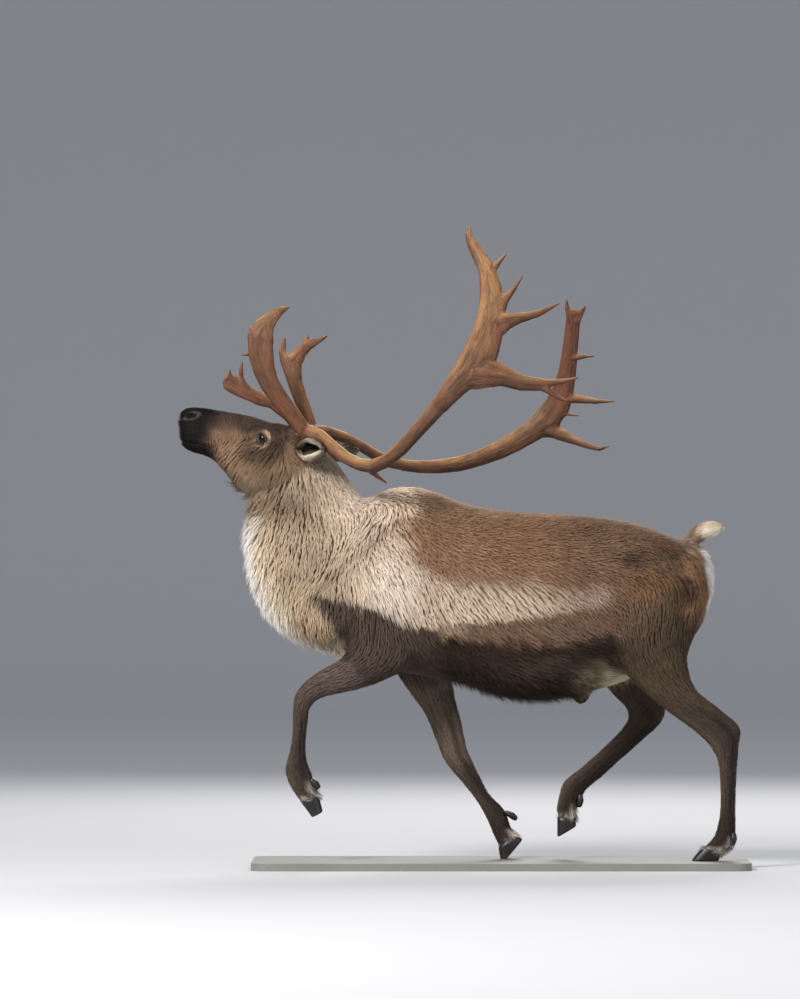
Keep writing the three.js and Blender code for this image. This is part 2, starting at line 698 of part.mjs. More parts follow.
// A lid: a tapered bead along an arc round the eye. lift is 1 for the upper lid and -1 for the lower.
function lid(lift) {
  const slope = new THREE.Vector3(0.5, 0, -0.86).normalize(); // the line between the corners of the eye
  const up = eyeOut.clone().cross(slope).normalize();
  if (up.x < 0) up.negate();
  const steps = 5;
  const rings = [];
  for (let i = 0; i <= steps; i++) {
    const s = (2 * i) / steps - 1;
    const arch = lift * (1 - s * s);
    const thick = 2 + 2.6 * (1 - s * s);
    const dome = eyeOut.clone().multiplyScalar(EYE.radius * (0.98 - 0.42 * Math.abs(s) ** 2.2));
    const p = eyeCentre.clone().add(dome).addScaledVector(slope, s * 21).addScaledVector(up, arch * 15);
    rings.push(
      Array.from({ length: 5 }, (_, j) => {
        const turn = (2 * Math.PI * j) / 5;
        return p
          .clone()
          .addScaledVector(eyeOut, Math.cos(turn) * thick * 0.9)
          .addScaledVector(up, Math.sin(turn) * thick);
      }),
    );
  }
  return skin(rings);
}

// A nostril: a slanting comma-shaped pit on the side of the nose.
function nostril() {
  const rows = [
    [-1078, -58, 1502, 6],
    [-1070, -46, 1508, 10],
    [-1056, -41, 1517, 12],
    [-1040, -42, 1519, 10],
    [-1026, -46, 1514, 7],
    [-1018, -56, 1506, 3],
  ];
  return antlerTube(rows.map((row) => [...row, 0.8]), 6, 1);
}

// The mouth: a thin groove from the front of the lips back to the corner.
function mouthGroove() {
  const line = [
    [-1095, 1424],
    [-1068, 1421],
    [-1035, 1415],
    [-1005, 1408],
    [-975, 1400],
  ];
  const rings = line.map(([x, z], i) => {
    const half = i === line.length - 1 ? 44 : 70;
    const t = 2.4;
    return [
      new THREE.Vector3(x, -half, z - t),
      new THREE.Vector3(x, half, z - t),
      new THREE.Vector3(x, half, z + t),
      new THREE.Vector3(x, -half, z + t),
    ];
  });
  const inner = body(headStations.slice(1, 6), 12, 1, -6);
  return skin(rings).subtract(inner);
}

// The swelling of each orbit, and the short pedicle that carries each antler
const orbit = body(
  [
    [-863, 1450, -859, 1426, 10, -56, 2, 0],
    [-841, 1468, -837, 1404, 22, -56, 2, 0],
    [-807, 1478, -803, 1386, 27, -55, 2, 0],
    [-775, 1474, -773, 1388, 26, -55, 2, 0],
    [-745, 1462, -745, 1404, 20, -55, 2, 0],
    [-721, 1444, -723, 1422, 9, -55, 2, 0],
  ],
  8,
  1,
);
const pedicle = body(
  [
    [-716, 1400, -650, 1380, 28, -44, 2, 0],
    [-722, 1452, -660, 1440, 24, -44, 2, 0],
  ],
  8,
  1,
);
const bothSides = (solid) => [solid, mirrored(solid)];

const headWhole = cut(
  join([
    body(headStations, HEAD_SIDES, 2),
    ...bothSides(orbit),
    ...bothSides(pedicle),
    ...bothSides(lid(1)),
    ...bothSides(lid(-1)),
  ]),
  [...bothSides(nostril()), mouthGroove(), ...bothSides(ball(eyeCentre, EYE.radius + GAP))],
);
const planeNormal = headPlaneNormal.clone().applyAxisAngle(new THREE.Vector3(0, 0, 1), HEAD_TURN);
const beamLeftGrown = tube(beamLeft, 10, 1, GAP);
const beamRightGrown = tube(beamRight, 10, 1, GAP);
const head = cut(keepSide(turned(headWhole), planeNormal, headPlanePoint), [beamLeftGrown, beamRightGrown]);
const headGrown = turned(
  join([body(headStations, HEAD_SIDES, 2, GAP), ...bothSides(pedicle), ...bothSides(orbit)]),
);

// Ears: a leaf curled into a cup. dir points to the tip and open to where the cup faces.
function ear(root, dir, open, length, radius) {
  const tip = dir.clone().normalize();
  const face = open.clone().addScaledVector(tip, -open.dot(tip)).normalize();
  const side = tip.clone().cross(face).normalize();
  const rows = [
    [0, 0.55, 0.95, 0.1],
    [0.16, 0.8, 0.88, 0.4],
    [0.36, 1, 0.8, 0.86],
    [0.58, 0.96, 0.78, 0.88],
    [0.78, 0.74, 0.76, 0.86],
    [0.93, 0.4, 0.7, 0.8],
    [1, 0.14, 0.4, 0.5],
  ];
  const arcSteps = 7;
  const rings = rows.map(([share, wide, curl, hollow]) => {
    const r = radius * wide;
    const centre = root.clone().addScaledVector(tip, length * share).addScaledVector(face, -r * 0.1);
    const sweep = Math.PI * curl;
    const arc = (radiusAt) =>
      Array.from({ length: arcSteps }, (_, j) => {
        const a = Math.PI + sweep * ((2 * j) / (arcSteps - 1) - 1);
        return centre
          .clone()
          .addScaledVector(face, Math.cos(a) * radiusAt)
          .addScaledVector(side, Math.sin(a) * radiusAt * 0.95);
      });
    return [...arc(r), ...arc(r * hollow).reverse()];
  });
  const base = rings[0].map((p) => p.clone().addScaledVector(tip, -30));
  const floor = [
    [-0.2, 0.5],
    [0, 0.55],
    [0.12, 0.5],
    [0.2, 0.2],
  ].map(([share, wide]) => {
    const p = root.clone().addScaledVector(tip, length * share).addScaledVector(face, -radius * 0.12);
    return [p.x, p.y, p.z, radius * wide, 1];
  });
  const room = [
    [-0.2, 1],
    [0.3, 1.3],
    [0.7, 1.3],
    [1.1, 0.8],
  ].map(([share, wide]) => {
    const p = root.clone().addScaledVector(tip, length * share);
    return [p.x, p.y, p.z, radius * wide, 1];
  });
  return { solid: join([skin([base, ...rings]), antlerTube(floor, 8, 1)]), room: antlerTube(room, 8, 1) };
}

const earLeft = ear(
  new THREE.Vector3(-684, -46, 1390),
  new THREE.Vector3(0.64, -0.77, 0),
  new THREE.Vector3(-0.6, -0.62, 0.16),
  132,
  41,
);
const earRight = ear(
  new THREE.Vector3(-632, 66, 1386),
  new THREE.Vector3(0.93, 0.4, 0.04),
  new THREE.Vector3(-0.3, 0.8, 0.3),
  156,
  33,
);

// Put the animal together

const legs = {
  leg_front_left: legOf(foreLeft),
  leg_front_right: legOf(foreRight),
  leg_hind_left: legOf(hindLeft),
  leg_hind_right: legOf(hindRight),
};
const neckLoft = (grow) => {
  return skin(spline(neckStations, 2).map((row) => ring(row, NECK_SIDES, grow).map(sway)));
};
// The mane leaves room round the ears.
const neckWhole = join([neckCore(), cut(join(maneLocks()), [earLeft.room, earRight.room])]);
const neckGrown = neckLoft(GAP);
const neck = keepSide(
  cut(neckWhole, [
    torsoGrown,
    legBody(foreLeft, GAP),
    legBody(foreRight, GAP),
    beamLeftGrown,
    beamRightGrown,
  ]),
  planeNormal.clone().negate(),
  headPlanePoint.clone().addScaledVector(planeNormal, -GAP),
);
const tail = cut(body(tailStations, 10, 2), [torsoGrown]);

addNode("torso", torso, COAT_BROWN);
addNode("neck", neck, MANE_CREAM);
addNode("head", head, FACE_BROWN);
addNode("tail", tail, TAIL_WHITE);
for (const [name, solid] of Object.entries(legs)) addNode(name, solid, COAT_DARK);
addNode("ear_left", cut(earLeft.solid, [headGrown, neckGrown, beamLeftGrown]), FACE_BROWN);
addNode("ear_right", cut(earRight.solid, [headGrown, neckGrown, beamRightGrown]), FACE_BROWN);
addNode("eye_left", turned(ball(eyeCentre, EYE.radius)), EYE_DARK, 0.1);
addNode("eye_right", turned(mirrored(ball(eyeCentre, EYE.radius))), EYE_DARK, 0.1);

for (const [name, foot] of Object.entries(feet)) {
  for (const [which, side] of [["outer", Math.sign(foot.leg[0][5])], ["inner", -Math.sign(foot.leg[0][5])]]) {
    addNode(`hoof_${name}_${which}`, claw(foot, side), HORN_BLACK, 0.45);
    addNode(`dewclaw_${name}_${which}`, cut(dewclaw(foot, side), [legs[`leg_${name}`]]), HORN_BLACK, 0.45);
  }
}

const splitLeft = new THREE.Vector3(-188, 0, 1560);
const splitLeftNormal = new THREE.Vector3(0.63, -0.1, 0.77).normalize();
const splitRight = new THREE.Vector3(66, 0, 1424);
const splitRightNormal = new THREE.Vector3(0.87, 0.05, 0.48).normalize();
const below = (solid, normal, point) => keepSide(solid, normal.clone().negate(), point);
const above = (solid, normal, point) => keepSide(solid, normal, point.clone().addScaledVector(normal, GAP));

const beamLeftSolid = below(join([tube(beamLeft, 10), tube(rearTineLeft, 6, 1)]), splitLeftNormal, splitLeft);
const beamRightSolid = below(tube(beamRight, 10), splitRightNormal, splitRight);
const palmLeftSolid = above(join([tube(palmLeft, 10), ...tines(palmLeftTines)]), splitLeftNormal, splitLeft);
const palmRightSolid = above(join([tube(palmRight, 10), ...tines(palmRightTines)]), splitRightNormal, splitRight);
const palmLeftGrown = tube(palmLeft, 10, 1, GAP);

addNode("antler_left_beam", beamLeftSolid, ANTLER, 0.6);
addNode("antler_left_palm", palmLeftSolid, ANTLER, 0.6);
addNode(
  "antler_left_back_tine",
  cut(join([tube(backTineLeft), tube(backTineLeftFork, 6, 1)]), [palmLeftGrown, beamLeftGrown]),
  ANTLER,
  0.6,
);
addNode(
  "antler_left_bez",
  cut(join([tube(bezLeft, 10), ...tines(bezLeftPoints)]), [beamLeftGrown, headGrown]),
  ANTLER,
  0.6,
);
addNode("antler_right_beam", beamRightSolid, ANTLER, 0.6);
addNode("antler_right_palm", palmRightSolid, ANTLER, 0.6);
addNode(
  "antler_right_bez",
  cut(join([tube(bezRight, 10), ...tines(bezRightTines)]), [beamRightGrown, headGrown]),
  ANTLER,
  0.6,
);
addNode(
  "antler_right_brow",
  cut(join([tube(browRight), ...tines(browRightPoints)]), [beamRightGrown, headGrown, tube(bezRight, 10, 1, GAP)]),
  ANTLER,
  0.6,
);

group.position.z = BASE_THICK;

// The display base: a flat board with rounded corners, under the two hooves that carry the animal
const outline = new THREE.Shape();
const halfLength = BASE_LENGTH / 2;
const halfWidth = BASE_WIDTH / 2;
for (const [i, [cx, cy]] of [[1, 1], [-1, 1], [-1, -1], [1, -1]].entries()) {
  outline.absarc(
    cx * (halfLength - BASE_CORNER),
    cy * (halfWidth - BASE_CORNER),
    BASE_CORNER,
    (i * Math.PI) / 2,
    ((i + 1) * Math.PI) / 2,
  );
}
outline.closePath();
const board = new THREE.Mesh(
  new THREE.ExtrudeGeometry(outline, { depth: BASE_THICK, bevelEnabled: false, curveSegments: 4 }),
  new THREE.MeshStandardMaterial({ color: BASE_GREY, roughness: 0.8, metalness: 0 }),
);
board.name = "stand_base";

const reindeer = new THREE.Group();
reindeer.add(group, board);
export default reindeer;
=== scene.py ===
import bpy
import numpy as np
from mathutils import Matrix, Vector
from mathutils.kdtree import KDTree


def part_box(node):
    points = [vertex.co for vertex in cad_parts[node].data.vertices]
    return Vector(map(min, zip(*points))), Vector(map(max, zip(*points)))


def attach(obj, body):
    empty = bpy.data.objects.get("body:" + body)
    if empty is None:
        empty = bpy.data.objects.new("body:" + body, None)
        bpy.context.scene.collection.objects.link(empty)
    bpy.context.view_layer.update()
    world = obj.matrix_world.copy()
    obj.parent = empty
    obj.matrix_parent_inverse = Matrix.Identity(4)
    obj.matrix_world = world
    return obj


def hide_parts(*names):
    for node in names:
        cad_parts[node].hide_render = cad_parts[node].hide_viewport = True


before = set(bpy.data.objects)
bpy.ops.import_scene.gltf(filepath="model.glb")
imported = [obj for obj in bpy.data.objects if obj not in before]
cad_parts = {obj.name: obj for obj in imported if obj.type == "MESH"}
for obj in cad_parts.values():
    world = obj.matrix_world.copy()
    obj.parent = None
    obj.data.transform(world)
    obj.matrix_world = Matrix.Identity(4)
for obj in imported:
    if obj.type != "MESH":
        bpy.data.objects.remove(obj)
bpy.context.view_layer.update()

# The view
# A long lens square to the animal's left side, a little below the height of its back, as the photo was taken.
# It stands 20 m off and looks at the middle of the photo's frame.
VIEW_MIDDLE = Vector((-.34, 0, 1.249))
EYE_POINT = Vector((-.34, -20, .9))
camera = bpy.data.objects.new("camera", bpy.data.cameras.new("camera"))
camera.location = EYE_POINT
camera.rotation_euler = (VIEW_MIDDLE - EYE_POINT).to_track_quat("-Z", "Y").to_euler()
camera.data.lens = 212
camera.data.sensor_width = 36
camera.data.clip_end = 300
bpy.context.scene.collection.objects.link(camera)
bpy.context.scene.camera = camera

# The studio
# A wide round floor of pale paper that curves up into a backdrop on every side, a soft even light, and
# three large soft lamps: the key high at the head end of the near side, a weak fill from the tail end, and
# one behind that draws a thin rim along the back.
bpy.context.scene.view_settings.view_transform = "Standard"
sky = bpy.data.worlds.new("studio")
bpy.context.scene.world = sky
sky.use_nodes = True
sky.node_tree.nodes["Background"].inputs["Color"].default_value = (.80, .84, .90, 1)
sky.node_tree.nodes["Background"].inputs["Strength"].default_value = .50

for name, place, size, watts, tint in (
    ("key", (-5, -7, 6.5), 2.6, 1100, (1, .975, .94)),
    ("fill", (6, -7, 3.0), 5, 170, (.90, .95, 1)),
    ("rim", (1, 7, 6), 4, 420, (1, .98, .95)),
):
    lamp = bpy.data.objects.new(name, bpy.data.lights.new(name, "AREA"))
    lamp.data.energy = watts
    lamp.data.size = size
    lamp.data.color = tint
    lamp.location = place
    lamp.rotation_euler = (Vector((-.1, 0, 1)) - lamp.location).to_track_quat("-Z", "Y").to_euler()
    bpy.context.scene.collection.objects.link(lamp)

FLAT = 57
BEND = 9
WALL = 16
FLOOR_Y = -30
ROUND = 96
bend_turns = np.linspace(.1, np.pi / 2, 12)
sweep_line = [(40, 0), (54, 0), (FLAT, 0)]
sweep_line += [(FLAT + BEND * np.sin(a), BEND - BEND * np.cos(a)) for a in bend_turns]
sweep_line.append((FLAT + BEND, WALL))
floor_points = [
    (reach * np.sin(2 * np.pi * i / ROUND), reach * np.cos(2 * np.pi * i / ROUND) + FLOOR_Y, z)
    for reach, z in sweep_line for i in range(ROUND)
]
floor_faces = [tuple(range(ROUND))[::-1]] + [
    (row + i, row + (i + 1) % ROUND, row + ROUND + (i + 1) % ROUND, row + ROUND + i)
    for row in range(0, ROUND * (len(sweep_line) - 1), ROUND) for i in range(ROUND)
]
floor_mesh = bpy.data.meshes.new("floor")
floor_mesh.from_pydata(floor_points, [], floor_faces)
floor_mesh.shade_smooth()
floor = bpy.data.objects.new("floor", floor_mesh)
bpy.context.scene.collection.objects.link(floor)
paper = bpy.data.materials.new("floor_paper")
paper.use_nodes = True
paper.node_tree.nodes["Principled BSDF"].inputs["Base Color"].default_value = (.58, .58, .60, 1)
paper.node_tree.nodes["Principled BSDF"].inputs["Roughness"].default_value = .9
floor.data.materials.append(paper)

# The board
# The display base under the animal: a flat board with rounded corners, painted a warm grey with a fine
# stipple, its edges eased. It keeps its solid and gets a small bevel.
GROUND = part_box("stand_base")[1].z


def shader(name, roughness, coat=0.0, specular=.5):
    """A Principled material and its nodes, with the numbers that are the same all over it."""
    made = bpy.data.materials.new(name)
    made.use_nodes = True
    tree = made.node_tree
    face = tree.nodes["Principled BSDF"]
    face.inputs["Roughness"].default_value = roughness
    face.inputs["Coat Weight"].default_value = coat
    face.inputs["Specular IOR Level"].default_value = specular
    return made, tree, face


# What each material gives the group of its uneven surface, in the order in which it is listed there
UNEVEN_INPUTS = (
    ("Patch Scale", "Float"), ("Patch Detail", "Float"), ("Dark", "Color"), ("Light", "Color"),
    ("Relief Scale", "Float"), ("Relief Detail", "Float"),
    ("Relief Strength", "Float"), ("Relief Depth", "Float"),
)


def unevenness():
    """The node group of every uneven surface: a colour that wanders from dark to light, and a fine relief."""
    group = bpy.data.node_groups.new("unevenness", "ShaderNodeTree")
    for label, kind in UNEVEN_INPUTS:
        group.interface.new_socket(label, in_out="INPUT", socket_type=f"NodeSocket{kind}")
    group.interface.new_socket("Colour", in_out="OUTPUT", socket_type="NodeSocketColor")
    group.interface.new_socket("Normal", in_out="OUTPUT", socket_type="NodeSocketVector")
    given = group.nodes.new("NodeGroupInput").outputs
    result = group.nodes.new("NodeGroupOutput").inputs
    place = group.nodes.new("ShaderNodeTexCoord").outputs["Object"]
    noise = {}
    for use in ("Patch", "Relief"):
        noise[use] = group.nodes.new("ShaderNodeTexNoise")
        group.links.new(place, noise[use].inputs["Vector"])
        group.links.new(given[f"{use} Scale"], noise[use].inputs["Scale"])
        group.links.new(given[f"{use} Detail"], noise[use].inputs["Detail"])
    shades = mixed(group, "MIX", noise["Patch"].outputs["Fac"], given["Dark"], given["Light"])
    bump = group.nodes.new("ShaderNodeBump")
    group.links.new(noise["Relief"].outputs["Fac"], bump.inputs["Height"])
    group.links.new(given["Relief Strength"], bump.inputs["Strength"])
    group.links.new(given["Relief Depth"], bump.inputs["Distance"])
    group.links.new(shades, result["Colour"])
    group.links.new(bump.outputs["Normal"], result["Normal"])
    return group


def mixed(tree, mode, share, first, second):
    """Two colours mixed, where the share is a socket or None for the whole of it."""
    mix = tree.nodes.new("ShaderNodeMix")
    mix.data_type = "RGBA"
    mix.blend_type = mode
    share_in, first_in, second_in = mix.inputs[0], mix.inputs[6], mix.inputs[7]
    share_in.default_value = 1.0
    if share is not None:
        tree.links.new(share, share_in)
    tree.links.new(first, first_in)
    tree.links.new(second, second_in)
    return mix.outputs[2]


UNEVENNESS = unevenness()


def uneven(made, patches, dark, light, relief, tinted=True):
    """
    Puts the unevenness on a material. patches is the scale and detail of its noise, and relief adds a
    strength and a depth to those. On a tinted piece the shades multiply the colours that its points carry.
    """
    material, tree, face = made
    grain = tree.nodes.new("ShaderNodeGroup")
    grain.node_tree = UNEVENNESS
    for (label, _), value in zip(UNEVEN_INPUTS, (*patches, (*dark, 1), (*light, 1), *relief)):
        grain.inputs[label].default_value = value
    colour = grain.outputs["Colour"]
    if tinted:
        colour = mixed(tree, "MULTIPLY", None, carried(tree), colour)
    tree.links.new(colour, face.inputs["Base Color"])
    tree.links.new(grain.outputs["Normal"], face.inputs["Normal"])
    return material


def carried(tree):
    """The colours that the points of a piece carry."""
    tint = tree.nodes.new("ShaderNodeAttribute")
    tint.attribute_name = "Tint"
    return tint.outputs["Color"]


def paint(code):
    """A linear colour from the hexadecimal code of a display colour."""
    parts = np.array([int(code[i:i + 2], 16) for i in (0, 2, 4)]) / 255
    return np.where(parts < .04045, parts / 12.92, ((parts + .055) / 1.055) ** 2.4)


board_paint = uneven(
    shader("board_paint", .55), (4, 3), paint("77756f"), paint("8a8882"), (240, 3, .25, .002), tinted=False,
)
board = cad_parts["stand_base"]
board.data.materials.clear()
board.data.materials.append(board_paint)
edge = board.modifiers.new("eased edge", "BEVEL")
edge.width = .004
edge.segments = 3

# The flesh
# The body of the animal under its coat: trunk, neck, tail and legs, lofted one by one and then melted into
# one. A row is one ring, seen from the side: x and height of the upper or front edge, x and height of the
# lower or back edge, half width, y, squareness and lean. Heights are above the ground. A leg's rows leave
# out the last two.
TRUNK = [
    (-.578, 1.130, -.572, .738, .062, 0, 2.2, 0),
    (-.512, 1.208, -.512, .692, .135, 0, 2.2, 0),
    (-.440, 1.236, -.440, .664, .174, 0, 2.2, 0),
    (-.345, 1.268, -.345, .640, .202, 0, 2.1, -.10),
    (-.240, 1.258, -.240, .620, .224, 0, 2.1, -.12),
    (-.120, 1.212, -.120, .598, .246, 0, 2.2, -.10),
    (.020, 1.186, .020, .552, .262, 0, 2.3, -.06),
    (.160, 1.178, .160, .544, .264, 0, 2.3, -.04),
    (.290, 1.169, .290, .567, .246, 0, 2.2, 0),
    (.400, 1.157, .400, .598, .220, 0, 2.2, .10),
    (.500, 1.131, .500, .645, .200, 0, 2.2, .15),
    (.590, 1.095, .590, .700, .176, 0, 2.2, .15),
    (.655, 1.070, .655, .762, .144, 0, 2.2, .10),
    (.690, 1.050, .692, .826, .098, 0, 2.2, 0),
    (.705, 1.002, .704, .880, .052, 0, 2.2, 0),
    (.711, .956, .709, .912, .018, 0, 2.2, 0),
]
SHEATH = [
    (.245, .620, .322, .620, .036, 0, 2, 0),
    (.248, .548, .308, .558, .026, 0, 2, 0),
    (.262, .528, .291, .531, .013, 0, 2, 0),
]
NECK = [
    (-.668, 1.440, -.862, 1.400, .060, 0, 2, 0),
    (-.612, 1.408, -.922, 1.316, .074, 0, 2, 0),
    (-.554, 1.350, -.878, 1.248, .086, 0, 2, 0),
    (-.517, 1.301, -.864, 1.170, .098, 0, 2, 0),
    (-.488, 1.259, -.873, 1.075, .110, 0, 2, 0),
    (-.456, 1.222, -.856, .965, .126, 0, 2.1, 0),
    (-.395, 1.188, -.820, .862, .144, 0, 2.1, 0),
    (-.345, 1.110, -.750, .776, .156, 0, 2.1, 0),
    (-.345, .985, -.625, .722, .150, 0, 2.1, 0),
    (-.345, .890, -.535, .730, .120, 0, 2.1, 0),
]
HEAD = [
    (-1.100, 1.497, -1.094, 1.440, .026, 0, 2.2, 0),
    (-1.084, 1.531, -1.082, 1.404, .043, 0, 2.3, .05),
    (-1.056, 1.541, -1.052, 1.385, .052, 0, 2.3, .05),
    (-1.012, 1.539, -1.010, 1.373, .054, 0, 2.3, 0),
    (-.962, 1.531, -.972, 1.354, .053, 0, 2.2, -.10),
    (-.892, 1.519, -.932, 1.315, .060, 0, 2.1, -.05),
    (-.840, 1.508, -.892, 1.273, .074, 0, 2.1, .05),
    (-.785, 1.490, -.832, 1.250, .084, 0, 2.2, .10),
    (-.735, 1.477, -.750, 1.248, .084, 0, 2.2, .05),
    (-.682, 1.448, -.665, 1.272, .072, 0, 2.2, 0),
    (-.635, 1.405, -.610, 1.310, .048, 0, 2.2, 0),
]
LEGS = {
    "front_left": [
        (-.505, .860, -.300, .780, .060, -.128),
        (-.515, .735, -.290, .672, .062, -.140),
        (-.548, .682, -.380, .614, .050, -.138),
        (-.585, .662, -.470, .580, .040, -.134),
        (-.632, .634, -.558, .560, .033, -.131),
        (-.672, .602, -.614, .543, .031, -.129),
        (-.700, .560, -.634, .524, .032, -.128),
        (-.706, .510, -.644, .506, .027, -.127),
        (-.705, .450, -.652, .448, .023, -.126),
        (-.712, .380, -.657, .384, .023, -.125),
        (-.728, .318, -.650, .330, .029, -.124),
        (-.722, .276, -.634, .290, .030, -.124),
        (-.700, .234, -.626, .246, .028, -.124),
        (-.679, .206, -.615, .222, .033, -.124),
    ],
    "front_right": [
        (-.400, .780, -.180, .760, .060, .128),
        (-.372, .665, -.162, .655, .062, .138),
        (-.314, .572, -.150, .560, .048, .133),
        (-.256, .492, -.134, .490, .039, .126),
        (-.219, .405, -.118, .414, .032, .119),
        (-.197, .348, -.106, .364, .031, .114),
        (-.169, .306, -.092, .334, .032, .110),
        (-.123, .252, -.068, .284, .026, .106),
        (-.083, .200, -.034, .222, .023, .102),
        (-.049, .144, .018, .166, .029, .099),
        (-.033, .108, .034, .124, .030, .097),
        (-.017, .070, .044, .098, .028, .096),
        (-.005, .048, .058, .084, .033, .096),
    ],
    "hind_left": [
        (.350, 1.010, .640, 1.010, .060, -.100),
        (.345, .880, .702, .900, .092, -.122),
        (.352, .760, .666, .775, .088, -.130),
        (.405, .645, .638, .705, .070, -.128),
        (.490, .556, .642, .640, .050, -.122),
        (.568, .496, .668, .580, .040, -.116),
        (.640, .448, .735, .524, .034, -.111),
        (.692, .404, .786, .480, .032, -.107),
        (.722, .362, .811, .446, .033, -.104),
        (.735, .328, .805, .388, .028, -.101),
        (.741, .256, .799, .272, .024, -.098),
        (.741, .172, .796, .178, .024, -.095),
        (.727, .098, .796, .098, .030, -.093),
        (.706, .064, .784, .052, .031, -.092),
        (.684, .046, .744, .026, .033, -.092),
    ],
    "hind_right": [
        (.300, 1.000, .600, 1.000, .060, .100),
        (.300, .870, .650, .880, .092, .122),
        (.305, .740, .618, .725, .082, .130),
        (.332, .632, .585, .640, .064, .126),
        (.381, .562, .572, .578, .046, .120),
        (.424, .520, .572, .526, .036, .114),
        (.438, .478, .556, .468, .033, .110),
        (.400, .424, .474, .390, .028, .106),
        (.345, .373, .410, .332, .024, .102),
        (.286, .319, .346, .274, .024, .099),
        (.219, .263, .302, .240, .029, .096),
        (.201, .212, .280, .204, .030, .096),
        (.194, .176, .262, .168, .028, .096),
        (.197, .148, .260, .138, .033, .096),
    ],
}
TAIL = [
    (.600, 1.085, .625, 1.010, .022, 0, 2, 0),
    (.628, 1.106, .650, 1.052, .026, 0, 2, 0),
    (.655, 1.124, .672, 1.074, .028, 0, 2, 0),
    (.690, 1.141, .702, 1.090, .028, 0, 2, 0),
    (.726, 1.146, .732, 1.100, .023, 0, 2, 0),
    (.750, 1.131, .750, 1.120, .008, 0, 2, 0),
]
HEAD_TURN = np.radians(-8)
HEAD_PIVOT = np.array([-.600, 0, 0])
LEG_SQUARE = 2.2
TRUNK_COAT = .014
NECK_COAT = .010
THROAT_COAT = .036
HEAD_COAT = .004
LEG_COAT = .005


def unit(vectors):
    """Vectors of length 1 along their last axis."""
    return vectors / np.maximum(np.linalg.norm(vectors, axis=-1, keepdims=True), 1e-9)


def ease(value, low, high):
    """0 below low and 1 above high, with a smooth turn between."""
    share = np.clip((value - low) / (high - low), 0, 1)
    return share * share * (3 - 2 * share)


def spline(rows, steps):
    """A Catmull-Rom curve through rows of numbers, each column on its own."""
    rows = np.array([(*row, LEG_SQUARE, 0) if len(row) == 6 else row for row in rows], float)
    held = np.vstack([rows[:1], rows, rows[-1:]])
    t = (np.arange(steps) / steps)[:, None]
    out = []
    for a, b, c, d in zip(held, held[1:], held[2:], held[3:]):
        bent = (2 * a - 5 * b + 4 * c - d) * t ** 2 + (3 * b - a - 3 * c + d) * t ** 3
        out.append((2 * b + (c - a) * t + bent) / 2)
    return np.vstack([*out, rows[-1:]])


def rings_of(rows, sides, inset=0.0):
    """The rings of a loft as points, where inset is one depth or one for each ring and side."""
    turn = 2 * np.pi * np.arange(sides) / sides
    first = np.stack([rows[:, 0], rows[:, 5], rows[:, 1] + GROUND], 1)
    last = np.stack([rows[:, 2], rows[:, 5], rows[:, 3] + GROUND], 1)
    middle = (first + last) / 2
    arm = first - middle
    reach = np.linalg.norm(arm, axis=1)[:, None]
    power = 2 / rows[:, 6:7]
    up = np.sign(np.cos(turn)) * np.abs(np.cos(turn)) ** power
    side = np.sign(np.sin(turn)) * np.abs(np.sin(turn)) ** power
    along = (up + rows[:, 7:8] * (1 - up * up)) * np.maximum(reach - inset, .002)
    across = side * np.maximum(rows[:, 4:5] - inset, .002)
    return middle[:, None] + unit(arm)[:, None] * along[..., None] + across[..., None] * np.array([0, 1, 0])


def closed(rings):
    """A closed mesh over rings, with a point in the middle of each end."""
    count, sides = rings.shape[:2]
    points = np.vstack([rings.reshape(-1, 3), rings[0].mean(0), rings[-1].mean(0)])
    a = np.arange(count - 1)[:, None] * sides + np.arange(sides)
    b = np.arange(count - 1)[:, None] * sides + (np.arange(sides) + 1) % sides
    faces = [tuple(f) for f in np.stack([a, b, b + sides, a + sides], -1).reshape(-1, 4)]
    top, end = (count - 1) * sides, len(points) - 2
    for j in range(sides):
        faces.append((end, (j + 1) % sides, j))
        faces.append((end + 1, top + j, top + (j + 1) % sides))
    return points, faces


def sway(points):
    """The top of the neck follows the head's turn, and the breast doesn't."""
    share = ease(points[..., 2] - GROUND, 1.0, 1.26)
    points[..., 1] += share * np.tan(-HEAD_TURN) * np.maximum(HEAD_PIVOT[0] - points[..., 0], 0)
    return points


def piece(name, points, faces):
    """A mesh object, linked to the scene."""
    mesh = bpy.data.meshes.new(name)
    mesh.from_pydata(points.tolist(), [], [tuple(int(i) for i in f) for f in faces])
    made = bpy.data.objects.new(name, mesh)
    bpy.context.scene.collection.objects.link(made)
    return made


def fused(shells, voxel):
    """One closed surface round several closed shells, as points and four-sided faces."""
    offsets = np.cumsum([0] + [len(p) for p, _ in shells])
    faces = [tuple(i + o for i in f) for (_, fs), o in zip(shells, offsets) for f in fs]
    made = piece("fusing", np.vstack([p for p, _ in shells]), faces)
    melt = made.modifiers.new("melt", "REMESH")
    melt.mode = "VOXEL"
    melt.voxel_size = voxel
    mesh = made.evaluated_get(bpy.context.evaluated_depsgraph_get()).to_mesh()
    points = np.empty(len(mesh.vertices) * 3, np.float32)
    corners = np.empty(len(mesh.loops), np.int32)
    mesh.vertices.foreach_get("co", points)
    mesh.loops.foreach_get("vertex_index", corners)
    bpy.data.objects.remove(made)
    return points.reshape(-1, 3).astype(float), corners.reshape(-1, 4)


def edges_of(faces):
    """The edges of faces as pairs of points, each edge once."""
    pairs = np.vstack([faces[:, [i, (i + 1) % faces.shape[1]]] for i in range(faces.shape[1])])
    return np.unique(np.sort(pairs, 1), axis=0)


